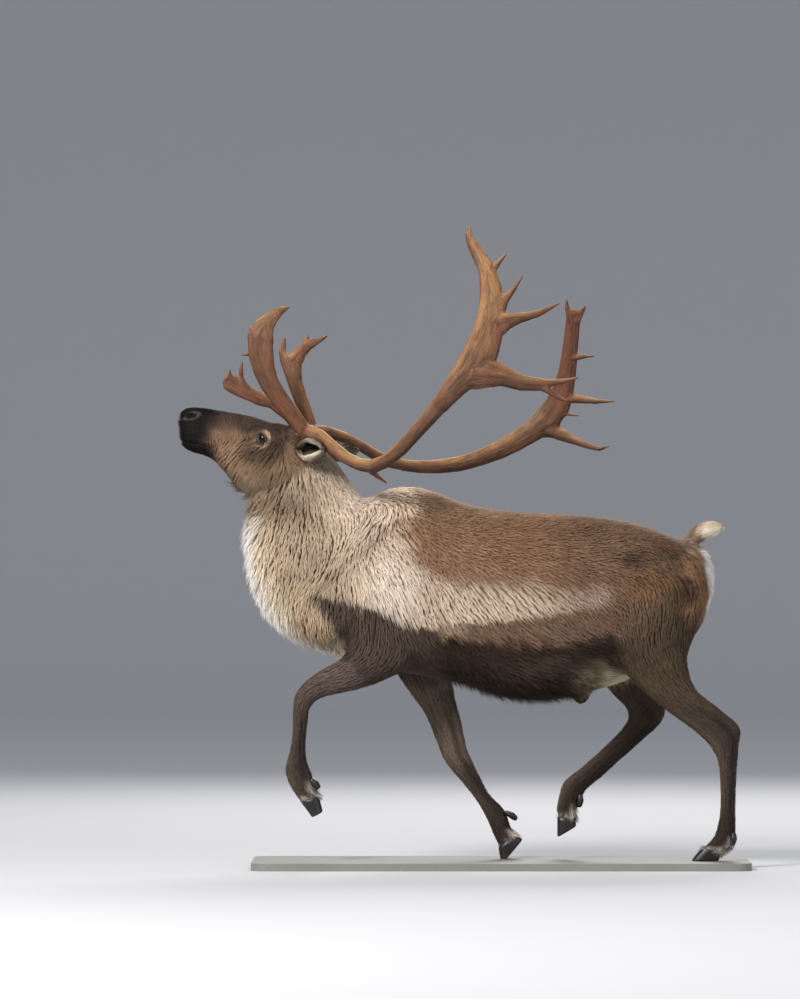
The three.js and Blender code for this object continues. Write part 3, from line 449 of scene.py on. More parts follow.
def averaged(values, edges, rounds, share=.5):
    """Values at points, each drawn towards the mean of its neighbours for a number of rounds."""
    a, b = edges.T
    count = len(values)
    degree = np.bincount(a, minlength=count) + np.bincount(b, minlength=count)
    for _ in range(rounds):
        total = [np.bincount(a, c[b], count) + np.bincount(b, c[a], count) for c in values.T]
        values = values + share * (np.stack(total, 1) / degree[:, None] - values)
    return values


def polished(points, edges, rounds):
    """Smooths away facets and keeps the size: each round draws in and pushes back out."""
    for _ in range(rounds):
        points = averaged(averaged(points, edges, 1, .5), edges, 1, -.53)
    return points


def normals_of(points, faces):
    """Normals at the points of four-sided faces."""
    a, b, c, d = points[faces.T]
    diagonal = np.cross(c - a, d - b)
    total = np.stack([sum(np.bincount(f, d, len(points)) for f in faces.T) for d in diagonal.T], 1)
    return unit(total)


def neck_depth(rows, sides):
    """The coat's depth round the neck: deep at the throat, and shallow at the nape."""
    turn = 2 * np.pi * np.arange(sides) / sides
    throat = np.maximum(0, np.cos((np.pi - np.minimum(turn, 2 * np.pi - turn)) / 1.6))
    down = ease(np.linspace(0, len(NECK) - 1, len(rows)), .2, 2.6)[:, None]
    return NECK_COAT + (THROAT_COAT - NECK_COAT) * throat * down


STEPS = 6
BODY_VOXEL = .0095
neck_rows = spline(NECK, STEPS)
shells = [
    closed(rings_of(spline(TRUNK, STEPS), 72, TRUNK_COAT)),
    closed(rings_of(spline(SHEATH, 4), 20, .006)),
    closed(sway(rings_of(neck_rows, 56, neck_depth(neck_rows, 56)))),
    closed(rings_of(spline(TAIL, STEPS), 20, .010)),
]
for rows in LEGS.values():
    fine = spline(rows, STEPS)
    depth = LEG_COAT + .010 * ease(fine[:, 3:4], .45, .80)
    shells.append(closed(rings_of(fine, 32, depth)))
body_points, body_faces = fused(shells, BODY_VOXEL)
body_edges = edges_of(body_faces)
lower = ease(GROUND + .55 - body_points[:, 2], 0, .10)[:, None]
soft = polished(averaged(body_points, body_edges, 8), body_edges, 6)
firm = polished(body_points, body_edges, 8)
body_points = soft * (1 - lower) + firm * lower
body_normals = normals_of(body_points, body_faces)

# The muscles and bones that show through: x and height above the ground, reach each way, and rise
RELIEF = [
    ("crest of the shoulder blade", -.275, 1.150, .035, .100, .006),
    ("hollow before the blade", -.400, 1.060, .040, .120, -.006),
    ("shoulder muscle", -.330, .900, .070, .100, .008),
    ("point of the shoulder", -.500, .800, .050, .060, .007),
    ("back of the upper arm", -.240, .760, .060, .070, .008),
    ("hollow behind the elbow", -.150, .690, .050, .050, -.007),
    ("spring of the ribs", .060, .900, .160, .140, .006),
    ("hollow of the flank", .315, .930, .060, .110, -.012),
    ("fold of the flank", .330, .730, .050, .060, .006),
    ("hip bone", .385, 1.085, .040, .035, .008),
    ("thigh muscle", .510, .880, .080, .130, .008),
    ("groove behind the thigh", .610, .820, .025, .120, -.006),
    ("seat bone", .655, .985, .030, .040, .006),
    ("stifle", .385, .730, .045, .055, .008),
]


def mottle(points, size, seed):
    """A smooth repeatable ripple between about -1 and 1 whose patches are as large as size."""
    draw = np.random.default_rng(seed)
    total = np.zeros(len(points))
    for _ in range(9):
        way = unit(draw.normal(size=3)) * 2 * np.pi / size * draw.uniform(.6, 1.5)
        total += np.sin(points @ way + draw.uniform(0, 6.3))
    return total / 3


def hump(x, z, place_x, place_z, reach_x, reach_z):
    """A round hill: 1 at its place, and near 0 at twice its reach."""
    return np.exp(-((x - place_x) / reach_x) ** 2 - ((z - place_z) / reach_z) ** 2)


rise = np.zeros(len(body_points))
for _, x, z, reach_x, reach_z, high in RELIEF:
    rise += high * hump(body_points[:, 0], body_points[:, 2] - GROUND, x, z, reach_x, reach_z)
SEAM_TOP = (-.339, 1.190)


def off_seam(x, z):
    """How far points lie off the slanting seam that runs from the withers down to the breast."""
    return (z - SEAM_TOP[1] - (x - SEAM_TOP[0])) * .707


seam = off_seam(body_points[:, 0], body_points[:, 2] - GROUND)
seam_reach = ease(body_points[:, 2] - GROUND, .84, .92) * ease(1.22 + GROUND - body_points[:, 2], 0, .06)
rise += .006 * seam_reach * (np.exp(-((seam - .012) / .016) ** 2) - np.exp(-((seam + .012) / .014) ** 2))
rise *= np.abs(body_normals[:, 1]) * ease(np.abs(body_points[:, 1]), .03, .09)
body_points += body_normals * rise[:, None]

# The head
# Bone close under a short coat: a deep blunt muzzle, nostrils like commas, a lip line, high orbits with
# lids, and the low burrs that carry the antlers. It is modelled facing straight ahead and then turned a
# little to the right.


def swung(points, angle):
    """Points of the head turned about the top of the neck."""
    c, s = np.cos(angle), np.sin(angle)
    return (points - HEAD_PIVOT) @ np.array([[c, s, 0], [-s, c, 0], [0, 0, 1]]) + HEAD_PIVOT


ORBIT = [
    (-.863, 1.450, -.859, 1.426, .010, -.056, 2, 0),
    (-.841, 1.468, -.837, 1.404, .022, -.056, 2, 0),
    (-.807, 1.478, -.803, 1.386, .027, -.055, 2, 0),
    (-.775, 1.474, -.773, 1.388, .026, -.055, 2, 0),
    (-.745, 1.462, -.745, 1.404, .020, -.055, 2, 0),
    (-.721, 1.444, -.723, 1.422, .009, -.055, 2, 0),
]
PEDICLES = [
    [
        (-.738, 1.436, -.704, 1.384, .030, -.020, 2, 0),
        (-.738, 1.460, -.688, 1.394, .038, -.027, 2, 0),
        (-.717, 1.477, -.665, 1.412, .038, -.036, 2, 0),
    ],
    [
        (-.726, 1.436, -.692, 1.384, .030, .036, 2, 0),
        (-.726, 1.460, -.676, 1.394, .038, .042, 2, 0),
        (-.704, 1.477, -.652, 1.412, .038, .052, 2, 0),
    ],
]
MIRROR = np.array([1, -1, 1])
head_shells = [closed(rings_of(spline(HEAD, 8), 96, HEAD_COAT))]
points, faces = closed(rings_of(spline(ORBIT, 6), 24, .003))
head_shells += [(points, faces), (points * MIRROR, faces)]
for rows in PEDICLES:
    points, faces = closed(rings_of(spline(rows, 6), 24, .002))
    head_shells.append((swung(points, -HEAD_TURN), faces))
collar = rings_of(neck_rows[:int(1.6 * STEPS)], 56, .012)
head_shells.append(closed(collar))
HEAD_VOXEL = .0030
head_points, head_faces = fused(head_shells, HEAD_VOXEL)
head_edges = edges_of(head_faces)
head_points = polished(averaged(head_points, head_edges, 6), head_edges, 8)
head_normals = normals_of(head_points, head_faces)

# Forms of the face: x, height above the ground, reach each way, rise, and how far from the middle plane it
# starts
FACE = [
    ("bulge of the cheek", -.800, 1.330, .045, .050, .005, .02),
    ("ridge under the eye", -.865, 1.395, .050, .014, .003, .02),
    ("hollow before the eye", -.868, 1.425, .026, .018, -.004, .03),
    ("hollow along the nose", -.975, 1.465, .050, .022, -.004, .02),
    ("pad of the upper lip", -1.045, 1.445, .034, .022, .004, .01),
    ("lower lip", -1.050, 1.402, .030, .010, .002, .01),
    ("corner of the mouth", -.972, 1.402, .014, .012, -.003, .02),
    ("hollow of the temple", -.735, 1.425, .022, .024, -.005, .03),
    ("edge of the jaw", -.865, 1.290, .060, .014, .004, .02),
    ("hollow of the throat", -.760, 1.290, .022, .030, -.004, .03),
]
side = np.abs(head_points[:, 1])
height = head_points[:, 2] - GROUND
rise = np.zeros(len(head_points))
for _, x, z, reach_x, reach_z, high, start in FACE:
    beside = ease(side, start - .01, start + .01)
    rise += high * hump(head_points[:, 0], height, x, z, reach_x, reach_z) * beside


def line_distance(x, z, line):
    """How far points lie from a line of points seen from the side."""
    best = np.full(len(x), 9.0)
    for (x1, z1), (x2, z2) in zip(line, line[1:]):
        long = (x2 - x1) ** 2 + (z2 - z1) ** 2
        t = np.clip(((x - x1) * (x2 - x1) + (z - z1) * (z2 - z1)) / long, 0, 1)
        best = np.minimum(best, np.hypot(x - x1 - t * (x2 - x1), z - z1 - t * (z2 - z1)))
    return best


MOUTH = [(-1.100, 1.425), (-1.068, 1.421), (-1.035, 1.415), (-1.005, 1.408), (-.978, 1.401)]
NOSTRIL = [(-1.090, 1.500), (-1.078, 1.509), (-1.064, 1.515), (-1.050, 1.515)]
mouth = line_distance(head_points[:, 0], height, MOUTH)
nostril = line_distance(head_points[:, 0], height, NOSTRIL)
sideways = ease(np.abs(head_normals[:, 1]), .15, .45)
rise -= .0038 * np.exp(-(mouth / .0035) ** 2)
rise += .0020 * np.exp(-((mouth - .010) / .006) ** 2) * (height > 1.41)
off_middle = ease(side, .010, .020)
outward = np.maximum(sideways, ease(-head_normals[:, 0], .2, .6))
rise -= .0085 * np.exp(-(nostril / .0055) ** 4) * outward * off_middle
rise += .0030 * np.exp(-((nostril - .012) / .004) ** 2) * off_middle
head_points += head_normals * rise[:, None]

# Each eyeball lies in a socket. Round the almond between the lids the skin is stretched over the ball.
EYE_RADIUS = .0240
EYE_OUT = unit(np.array([-.25, -1, .06]))
EYE = np.array([-.796, -.068, 1.429 + GROUND]) - .0058 * EYE_OUT
EYE_ALONG = unit(np.array([.5, 0, -.86]))
EYE_ALONG = unit(EYE_ALONG - EYE_OUT * (EYE_ALONG @ EYE_OUT))
EYE_UP = np.cross(EYE_OUT, EYE_ALONG)
ALMOND_LONG = .0228
ALMOND_HIGH = .0150
LOWER_LID = .80


def almond(along, up):
    """Under 1 inside the opening between the lids, whose upper arc is higher than the lower."""
    arch = np.maximum(1 - (along / ALMOND_LONG) ** 2, 0)
    high = np.where(up > 0, ALMOND_HIGH, LOWER_LID * ALMOND_HIGH) * np.maximum(arch, .02)
    return np.maximum(np.abs(along) / ALMOND_LONG, np.abs(up) / high)


for flip in (np.ones(3), MIRROR):
    offset = head_points * flip - EYE
    along, up, out = offset @ EYE_ALONG, offset @ EYE_UP, offset @ EYE_OUT
    wide = np.hypot(along, up)
    near = (wide < .045) & (out > -.03)
    dome = np.sqrt(np.maximum((EYE_RADIUS + .0022) ** 2 - wide ** 2, 0)) - .004 * ease(wide, .016, .033)
    over = np.maximum(out, dome) + .0022 * np.exp(-((almond(along, up) - 1.45) / .35) ** 2)
    inside = almond(along, up) < 1.02
    target = np.where(inside, dome - .009, over)
    share = np.where(near, 1 - ease(wide, .028, .038), 0)
    shift = (share * (target - out))[:, None] * EYE_OUT
    head_points += shift * flip
head_points = swung(head_points, HEAD_TURN)

# The ears
# Leaves of cartilage curled into cups, short-haired outside, with a thick pale rim and a hollow painted dark
# as its shade. The left one is held out sideways, and the right one is laid back. Root above the ground, way
# of the tip, way of the opening, length and radius
EARS = (
    ((-.684, -.046, 1.390), (.64, -.77, 0), (-.6, -.62, .16), .132, .041),
    ((-.632, .066, 1.386), (.93, .40, .04), (-.3, .8, .3), .156, .033),
)
# Share of the length, width, how far the cup curls round, and how deep it is hollowed
EAR_ROWS = [
    (-.22, .50, .96, .10),
    (0, .55, .95, .10),
    (.16, .80, .88, .40),
    (.36, 1.00, .74, .86),
    (.58, .96, .70, .88),
    (.78, .74, .68, .86),
    (.93, .40, .64, .80),
    (1.00, .14, .40, .50),
]
ear_rows = spline([(*row, 0, 0, 0, 0) for row in EAR_ROWS], 5)[:, :4]
EAR_COAT = .0025
ARC = 17
ear_parts = []
for root, tip, face, length, radius in EARS:
    tip, root = unit(np.array(tip)), np.array(root) + (0, 0, GROUND)
    face = unit(np.array(face) - tip * (np.array(face) @ tip))
    across = np.cross(tip, face)
    points, inner, angle = [], [], []
    for share, wide, curl, hollow in ear_rows:
        middle = root + tip * length * share - face * radius * wide * .1
        turn = np.pi + np.pi * curl * np.linspace(-1, 1, ARC)
        for reach, order in ((radius * wide - EAR_COAT, 1), (radius * wide * min(hollow, .90), -1)):
            arc = np.outer(np.cos(turn), face) + np.outer(np.sin(turn), across) * .95
            points.append((middle + arc * max(reach, .002))[::order])
            inner.append(np.full(ARC, order < 0))
            angle.append(turn[::order])
    rings = np.array(points).reshape(len(ear_rows), 2 * ARC, 3)
    points, faces = closed(rings)
    quads = np.array([f if len(f) == 4 else (*f, f[2]) for f in faces])
    lining = np.append(np.concatenate(inner), (False, False)).astype(float)
    share = np.append(np.repeat(ear_rows[:, 0], 2 * ARC), (0, 1))
    turn = np.append(np.concatenate(angle), (0, 0))
    low = (root[2] + tip[2] * length * share - points[:, 2]) / radius
    ear_parts.append((points, quads, lining, share, turn, tip, face, low))

# The skin
# One hide over the whole animal. Every point of it knows its part, how far along the part and how far round
# it lies, which way the hair runs there, how deep the coat is, and what colour it is.
pieces = [(body_points, body_faces), (head_points, head_faces)] + [(e[0], e[1]) for e in ear_parts]
starts = np.cumsum([0] + [len(p) for p, _ in pieces])
skin_points = np.vstack([p for p, _ in pieces])
skin_faces = np.vstack([f + o for (_, f), o in zip(pieces, starts)])
skin_edges = edges_of(skin_faces)
skin_edges = skin_edges[skin_edges[:, 0] != skin_edges[:, 1]]
skin_normals = normals_of(skin_points, skin_faces)
ALL = len(skin_points)
EAR_START = starts[2]
upright = swung(skin_points, -HEAD_TURN)
X, Y, Z = skin_points[:, 0], skin_points[:, 1], skin_points[:, 2] - GROUND
HX, HZ = upright[:, 0], upright[:, 2] - GROUND


def mapped(points, rows, bent=False):
    """How far points lie from a loft's middle line, how far along it, how far round it, and its course."""
    first = np.stack([rows[:, 0], rows[:, 5], rows[:, 1] + GROUND], 1)
    last = np.stack([rows[:, 2], rows[:, 5], rows[:, 3] + GROUND], 1)
    middle = (first + last) / 2
    if bent:
        middle, first = sway(middle), sway(first)
    arm = unit(first - middle)
    reach = np.linalg.norm(first - middle, axis=1)
    plane = unit(np.cross(arm, [0, 1, 0]))
    course = unit(np.gradient(middle, axis=0))
    plane *= np.sign(np.sum(plane * course, 1))[:, None]
    cost = np.empty((len(points), len(rows)), np.float32)
    for i in range(len(rows)):
        offset = points - middle[i]
        cost[:, i] = (offset @ plane[i]) ** 2 + .05 * np.sum(offset * offset, 1)
    ring = cost.argmin(1)
    offset = points - middle[ring]
    up = np.sum(offset * arm[ring], 1) / reach[ring]
    out = offset[:, 1] / rows[ring, 4]
    off = np.abs(np.sum(offset * plane[ring], 1))
    far = np.sqrt(up ** 2 + out ** 2) + np.maximum(off - .03, 0) / .04
    return far, ring / (len(rows) - 1), np.arctan2(out, up), course[ring]


loft_rows = {"trunk": TRUNK, "sheath": SHEATH, "neck": NECK, "tail": TAIL, **LEGS}
part_names = [*loft_rows, "head"]
charts = [mapped(skin_points, spline(rows, STEPS), name == "neck") for name, rows in loft_rows.items()]
charts.append(mapped(upright, spline(HEAD, STEPS)))
far = np.stack([c[0] for c in charts], 1)
body_only = np.arange(ALL) < starts[1]
far[body_only, -1] += 1
far[~body_only, :2] += 2
far[~body_only, 3:8] += 2
owner = far.argmin(1)
weight = np.exp(-((far - far.min(1, keepdims=True)) / .14) ** 2)
weight = averaged(weight / weight.sum(1, keepdims=True), skin_edges, 10)
weight /= weight.sum(1, keepdims=True)
share_of = dict(zip(part_names, weight.T))
along_of = {name: c[1] for name, c in zip(part_names, charts)}
turn_of = {name: c[2] for name, c in zip(part_names, charts)}
on_legs = sum(share_of[name] for name in LEGS)

# The groove along each shank, between the bone and the tendon behind it
for name in LEGS:
    first, last = (.50, .74) if name.startswith("front") else (.60, .84)
    shank = share_of[name] * ease(along_of[name], first, first + .05) * ease(last - along_of[name], 0, .05)
    groove = shank * np.exp(-((np.abs(turn_of[name]) - 1.95) / .30) ** 2)
    skin_points -= skin_normals * (.0040 * groove)[:, None]

DOWN = np.array([0, 0, -1.0])
BACK = np.array([1.0, 0, 0])
steep = .34 + .75 * np.exp(-((Z - .86) / .11) ** 2) + .9 * ease(-X, .12, .34) + .9 * ease(X, .50, .66)
seam = off_seam(X, Z)
seam_near = (np.exp(-((seam - .025) / .050) ** 2) * ease(Z, .84, .94) * ease(1.22 - Z, 0, .06))[:, None]
# The hair of the cheek and that of the neck part at a crown below the ear
CROWN = np.array([-.680, -.046, 1.375 + GROUND])
from_crown = skin_points - CROWN
from_crown[:, 1] = 0
crown_way = np.linalg.norm(from_crown, axis=1)[:, None]
fan = from_crown / np.maximum(crown_way, .01) * ease(crown_way, .04, .12)
fan *= 1.0 - .70 * ease(crown_way, .22, .50)
fan[:, 2] = np.minimum(fan[:, 2], .2)
nape_side = ease(np.cos(turn_of["neck"]), -.1, .6)[:, None]
cheek = ease(HX, -1.02, -.92) * ease(1.455 - HZ, 0, .05) * ease(-HX, .70, .74)
lie = np.zeros((ALL, 3))
for index, (name, chart) in enumerate(zip(part_names, charts)):
    course = chart[3]
    if name == "trunk":
        course = course + steep[:, None] * DOWN - 1.6 * seam_near * BACK
    if name == "neck":
        course = DOWN + (1 - nape_side) * fan + .25 * nape_side * BACK - .8 * seam_near * BACK
    if name == "head":
        course = swung(course + HEAD_PIVOT, HEAD_TURN) + .2 * DOWN
        course = course * (1 - cheek[:, None]) + (fan + .9 * DOWN) * cheek[:, None]
    lie += weight[:, index:index + 1] * unit(course)
for (points, _, lining, share, turn, tip, face, _), start in zip(ear_parts, starts[2:]):
    lie[start:start + len(points)] = tip + lining[:, None] * face * .3


def flattened(vectors, normals):
    """Vectors laid down along the surface."""
    return unit(vectors - normals * np.sum(vectors * normals, 1, keepdims=True))


for _ in range(3):
    lie = flattened(averaged(flattened(lie, skin_normals), skin_edges, 5), skin_normals)

# Markings
# Named areas of colour, each laid over the ones before it. They hold for both sides of the animal, and
# their edges are broken up by a ripple.
ragged = .012 * np.stack([mottle(skin_points, .07, 1), mottle(skin_points, .07, 2)], 1)
mx, mz = X + ragged[:, 0], Z + ragged[:, 1]
hx, hz = HX + ragged[:, 0] * .4, HZ + ragged[:, 1] * .4
tone = np.tile(paint("8c6b52"), (ALL, 1))


def lay(code, mask):
    """Lays a colour over the markings so far, as thick as mask says."""
    tone[:] += np.clip(mask, 0, 1)[:, None] * (paint(code) - tone)


def patch(x, z, place_x, place_z, reach_x, reach_z, edge=.35):
    """A soft-edged oval: 1 within it and 0 outside."""
    return 1 - ease(np.hypot((x - place_x) / reach_x, (z - place_z) / reach_z), 1 - edge, 1 + edge)


trunk = share_of["trunk"]
neck = share_of["neck"]
face_share = share_of["head"]
throat = -np.cos(turn_of["neck"])
down_neck = along_of["neck"]

# The saddle, the pale band along the flank, the dark belly and the hips
lay("947158", patch(mx, mz, .02, 1.06, .22, .12, .6))
lay("7d614e", ease(mx, .08, .34))
lay("a3826a", ease(mz, 1.14, 1.20) * ease(mx, -.30, -.15))
lay("735643", ease(mx, .42, .58) * ease(mz, 1.02, 1.10))
lay("3a2e27", ease(.775 - mz, 0, .05) * ease(mx, -.40, -.30))
lay("786353", ease(mz, .74, .79) * ease(.835 - mz, 0, .02) * ease(mx, -.30, -.20) * ease(.40 - mx, 0, .12))
behind_elbow = mx + .245
band = ease(Z + .35 * ragged[:, 1] - .796 - .10 * behind_elbow, -.010, .034)
band *= ease(.985 - .06 * behind_elbow - mz, 0, .060)
lay("c6b29d", band * ease(mx, -.33, -.26) * ease(.36 - mx, 0, .30))
lay("b7a08f", band * ease(mx, .10, .24) * ease(.40 - mx, 0, .10) * .8)
lay("ad967f", patch(mx, mz, -.190, .795, .075, .020, .5) * .8)
# Painted shadow: a thin near-black line in the fold at the elbow, between the upper arm and the belly
lay("1d1715", patch(mx, mz + .06 * (mx + .18), -.180, .750, .090, .010, .8))
lay("332922", ease(.680 - mz, 0, .06))
# Painted shade: a dark patch in the fold of the flank in front of the thigh
lay("251d19", patch(mx, mz, .400, .735, .110, .034, .6) * .8)
lay("54443a", patch(mx, mz, .130, .660, .150, .034, .7) * .7)
lay("8d7b65", patch(mx, mz, .318, .622, .085, .046, .7) * .9)
lay("dccdb2", patch(mx, mz, .382, .606, .062, .034, .6))
lay("a08c74", share_of["sheath"])
lay("2a1a12", share_of["sheath"] * ease(.582 - Z, 0, .014))
lay("4e3d33", ease(mx, .46, .60) * ease(.90 - mz, 0, .12))
lay("85603f", patch(mx, mz, .490, .940, .070, .050, .7) * .55)

# The cape over the withers and shoulder, and the legs
cape_edge = -.340 + .09 * ease(1.12 - Z, 0, .20)
lay("c2ae9a", ease(cape_edge - mx, -.048, .048) * ease(mz, .78, .84) * ease(1.5 - mz, .2, .3))
lay("dfd0c0", patch(mx, mz, -.400, .940, .110, .090, .6) * .8)
lay("eed3b8", patch(mx, mz, -.380, 1.220, .100, .050, .6) * .9)
# Painted shadow: a darker line along the shoulder side of the ridge at the seam from the withers to the
# breast
lay("8a7565", (1 - ease(np.abs(seam + .008), .004, .018)) * ease(mz, .86, .92) * ease(1.20 - mz, 0, .05) * .6)
lay("665750", share_of["front_left"])
# Painted light: the far fore leg is painted lighter to make up for the body's shadow on it
lay("a8937f", share_of["front_right"])
lay("574839", share_of["hind_left"] + share_of["hind_right"])
lay("85603f", patch(mx, mz, .490, .940, .070, .050, .7) * .40)
lay("957255", patch(mx, mz, .662, .965, .060, .120, .6) * .9)
# Painted shade: a dark patch under the point of the hip bone
lay("453327", patch(mx, mz, .435, 1.020, .060, .024, .6) * .7)
lay("3a2b22", patch(mx, mz, .622, .925, .040, .030, .6) * .8)
shoulder_edge = np.interp(mx, [-.62, -.57, -.51, -.425, -.34, -.255], [.905, .895, .884, .858, .831, .800])
dark_shoulder = ease(shoulder_edge - mz, 0, .022) * ease(mx + .605 - .5 * (.90 - mz), 0, .03)
dark_shoulder *= ease(-.20 - mx, -.02, .06)
lay("52443c", dark_shoulder * ease(mz, .50, .60))
lay("2a221e", patch(mx, mz, -.500, .730, .032, .040, .5))
lay("473c36", on_legs * ease(.60 - mz, 0, .20))
# Painted light: the middle of the far fore leg, lighter to make up for the body's shadow
lay("77685b", share_of["front_right"] * ease(mz, .26, .42) * ease(.66 - mz, 0, .1))
lay("3b312a", share_of["hind_right"] * ease(.52 - mz, 0, .10))
for name in LEGS:
    shank = share_of[name] * ease(.56 - mz, 0, .10)
    # Painted highlight: each shank is lighter down its front
    lay("6f5f51", shank * ease(np.cos(turn_of[name]), .30, .95) * .7)
    # Painted shade: a dark line in the groove between the bone and the tendon
    lay("241c18", shank * np.exp(-((np.abs(turn_of[name]) - 1.95) / .24) ** 2) * .7)
lay("342b26", on_legs * ease(.24 - mz, 0, .12) * .7)
coronet = np.zeros(ALL)
for name in LEGS:
    behind = .5 - .5 * np.cos(turn_of[name])
    coronet += share_of[name] * ease(along_of[name] + .035 * behind, .955, .985)
    coronet += share_of[name] * ease(along_of[name], .855, .90) * ease(behind, .55, .85) * .9
lay("d9cfc0", coronet * ease(mottle(skin_points, .030, 6), -.9, .1))

# The white seat under the tail, and the tail itself, brown above and white below and at the tip
white_edge = np.interp(Z, [.88, .933, .984, 1.035, 1.06], [.708, .697, .679, .664, .660])
seat_patch = ease(X + .8 * ragged[:, 0] - white_edge, -.006, .014) * ease(mz, .885, .925)
seat_patch *= ease(1.085 - Z, 0, .02)
lay("f1ece5", seat_patch)
between_thighs = ease(.070 - np.abs(Y + ragged[:, 0]), -.02, .03) * ease(mx, .62, .65)
lay("f1ece5", between_thighs * ease(mz, .82, .90) * ease(1.085 - mz, 0, .03))
tail = share_of["tail"]
lay("efe4d0", tail)
lay("d0ad84", tail * ease(np.cos(turn_of["tail"]) + .6 * mottle(skin_points, .02, 11), .1, .9) * .7)
lay("7b5a41", tail * ease(.668 - mx - .012 * np.cos(turn_of["tail"]), 0, .022))

# The neck and the mane
lay("cab69f", neck)
lay("b8a38a", neck * ease(throat, -.7, .0) * .8)
lay("cdb697", neck * ease(throat, .15, .6) * .8)
lay("e4d5bb", neck * ease(throat, .55, .85))
lay("f2ece3", neck * ease(throat, .80, .97) * ease(1.245 - mz, 0, .05))
lay("846f5a", neck * ease(mz, 1.08, 1.24) * ease(throat, -.7, .1) * .95)
lay("a89682", neck * ease(mz, 1.20, 1.34) * ease(-throat, -.2, .3) * .8)
lay("dac7b6", patch(mx, mz, -.465, 1.215, .085, .055, .7) * .8)
lay("98846d", neck * patch(mx, mz, -.646, 1.020, .100, .120, .7) * .5)
lay("a98f72", neck * patch(mx, mz, -.640, .80, .10, .08, .5) * .7)

dark_breast = ease(shoulder_edge + .040 * neck - mz, 0, .022) * ease(mx + .618 - .5 * (.90 - mz), 0, .03)
lay("52443c", dark_breast * ease(-.42 - mx, 0, .04) * ease(mz, .50, .60))

# The face
lay("7d644c", face_share)
lay("866a53", face_share * patch(hx, hz, -.930, 1.400, .110, .060, .7))
lay("7e684f", face_share * ease(1.37 - hz, 0, .05) * ease(hx, -.96, -.88))
lay("7d6a52", face_share * ease(1.31 - hz, 0, .05) * ease(hx, -.86, -.76))
lay("554636", face_share * ease(1.350 + .45 * (-.90 - hx) - hz, 0, .03) * ease(-.80 - hx, 0, .06) * .8)
lay("a3846a", face_share * patch(hx, hz, -.888, 1.388, .062, .034, .7) * .8)
chin = ease(1.385 + .55 * (-.97 - hx) - hz, 0, .03) * ease(hx, -1.0, -.95) * ease(-.84 - hx, 0, .06)
lay("5d4d3e", face_share * chin * .8)
lay("3b2e2b", face_share * ease(hz - 1.487 + .22 * (hx + 1.03), 0, .040))
lay("54443b", face_share * ease(hz - 1.452 + .10 * (hx + 1.03), 0, .040) * .6)
lay("43352d", face_share * patch(hx, hz, -.752, 1.437, .040, .052, .5))
lay("4a3a31", face_share * patch(hx, hz, -.805, 1.380, .060, .026, .7) * .9)
lay("4a3a31", face_share * patch(hx, hz, -.838, 1.408, .034, .022, .7) * .6)
lay("43352f", face_share * patch(hx, hz, -.838, 1.468, .052, .016, .6) * .9)
tear_line = line_distance(HX, HZ, [(-.818, 1.444), (-.862, 1.428)])
lay("3a2d28", face_share * (1 - ease(tear_line, .002, .007)) * .8)
lay("140f0f", face_share * ease(-.976 - .25 * (1.52 - hz) - hx + .6 * ragged[:, 1], -.048, .034))
lay("140f0f", face_share * patch(hx, hz, -1.018, 1.390, .052, .034, .7))
frost = patch(upright[:, 1], HZ + .3 * ragged[:, 0], 0, 1.462, .024, .048, .60) * ease(-HX, 1.068, 1.094)
lay("e6dcd4", face_share * frost * (.68 + .30 * mottle(skin_points, .010, 7)))
nose_fold = np.abs(np.hypot((HX + 1.050) / .026, (HZ - 1.510 - .20 * (HX + 1.050)) / .0115) - 1)
lay("6a625a", face_share * (1 - ease(nose_fold, .08, .40)) * .55)
nostril_all = line_distance(HX, HZ, NOSTRIL)
lay("0d0a0a", face_share * (1 - ease(nostril_all, .0025, .008)) * .8)
lip_line = 1 - ease(line_distance(HX, HZ, MOUTH), .002, .005)
lay("120e0e", face_share * lip_line * ease(-HX, .97, .98) * .4)
bare = face_share * (1 - ease(nostril_all, .005, .009)) * ease(np.abs(upright[:, 1]), .008, .014)
for flip in (np.ones(3), MIRROR):
    offset = upright * flip - EYE
    along, up, out = offset @ EYE_ALONG, offset @ EYE_UP, offset @ EYE_OUT
    near = out > -.02
    lids = np.where(near, almond(along, up), 9)
    ring = np.hypot((along + .002) / .0300, (up - .0045) / .0260)
    lay("b89f86", (1 - ease(ring, .85, 1.12)) * near * (.12 + .88 * ease(up + .5 * along, -.006, .012)))
    lay("17100f", 1 - ease(lids, 1.12, 1.45))
    bare = np.maximum(bare, 1 - ease(lids, 1.30, 1.60))

ear_weight = np.zeros(ALL)
ear_rim = np.zeros(ALL)
ear_lining = np.zeros(ALL)
for (points, _, lining, share, turn, _, _, low), start in zip(ear_parts, starts[2:]):
    span = slice(start, start + len(points))
    ear_weight[span] = 1
    open_edge = ease(np.abs(np.pi - turn), 1.55, 2.1)
    whole = np.zeros(ALL)
    whole[span] = 1
    lay("8a7766", whole)
    below = ease(low, -.35, .45)
    rim_share = open_edge * ease(share, .15, .40) * (.30 + .70 * below)
    # Painted shade: the lining of the cup is darker, least towards its open edge; the cream over its lower
    # part and the pale rim are hair
    shares = (1 - ease(share, .0, .3)) * .7, lining * (1 - open_edge * .6), lining * below * .7, rim_share
    for code, mask in zip(("4a3f34", "1f1a13", "a8987a", "ddd0b8"), shares):
        whole[span] = mask
        lay(code, whole)
    tone[span] *= (1 + .16 * mottle(points, .010, 8) + .12 * mottle(points, .005, 9))[:, None]
    ear_rim[span] = open_edge * ease(share, .15, .40)
    ear_lining[span] = lining
tone *= (1 + .06 * mottle(skin_points, .045, 3) + .05 * mottle(skin_points, .16, 4))[:, None]

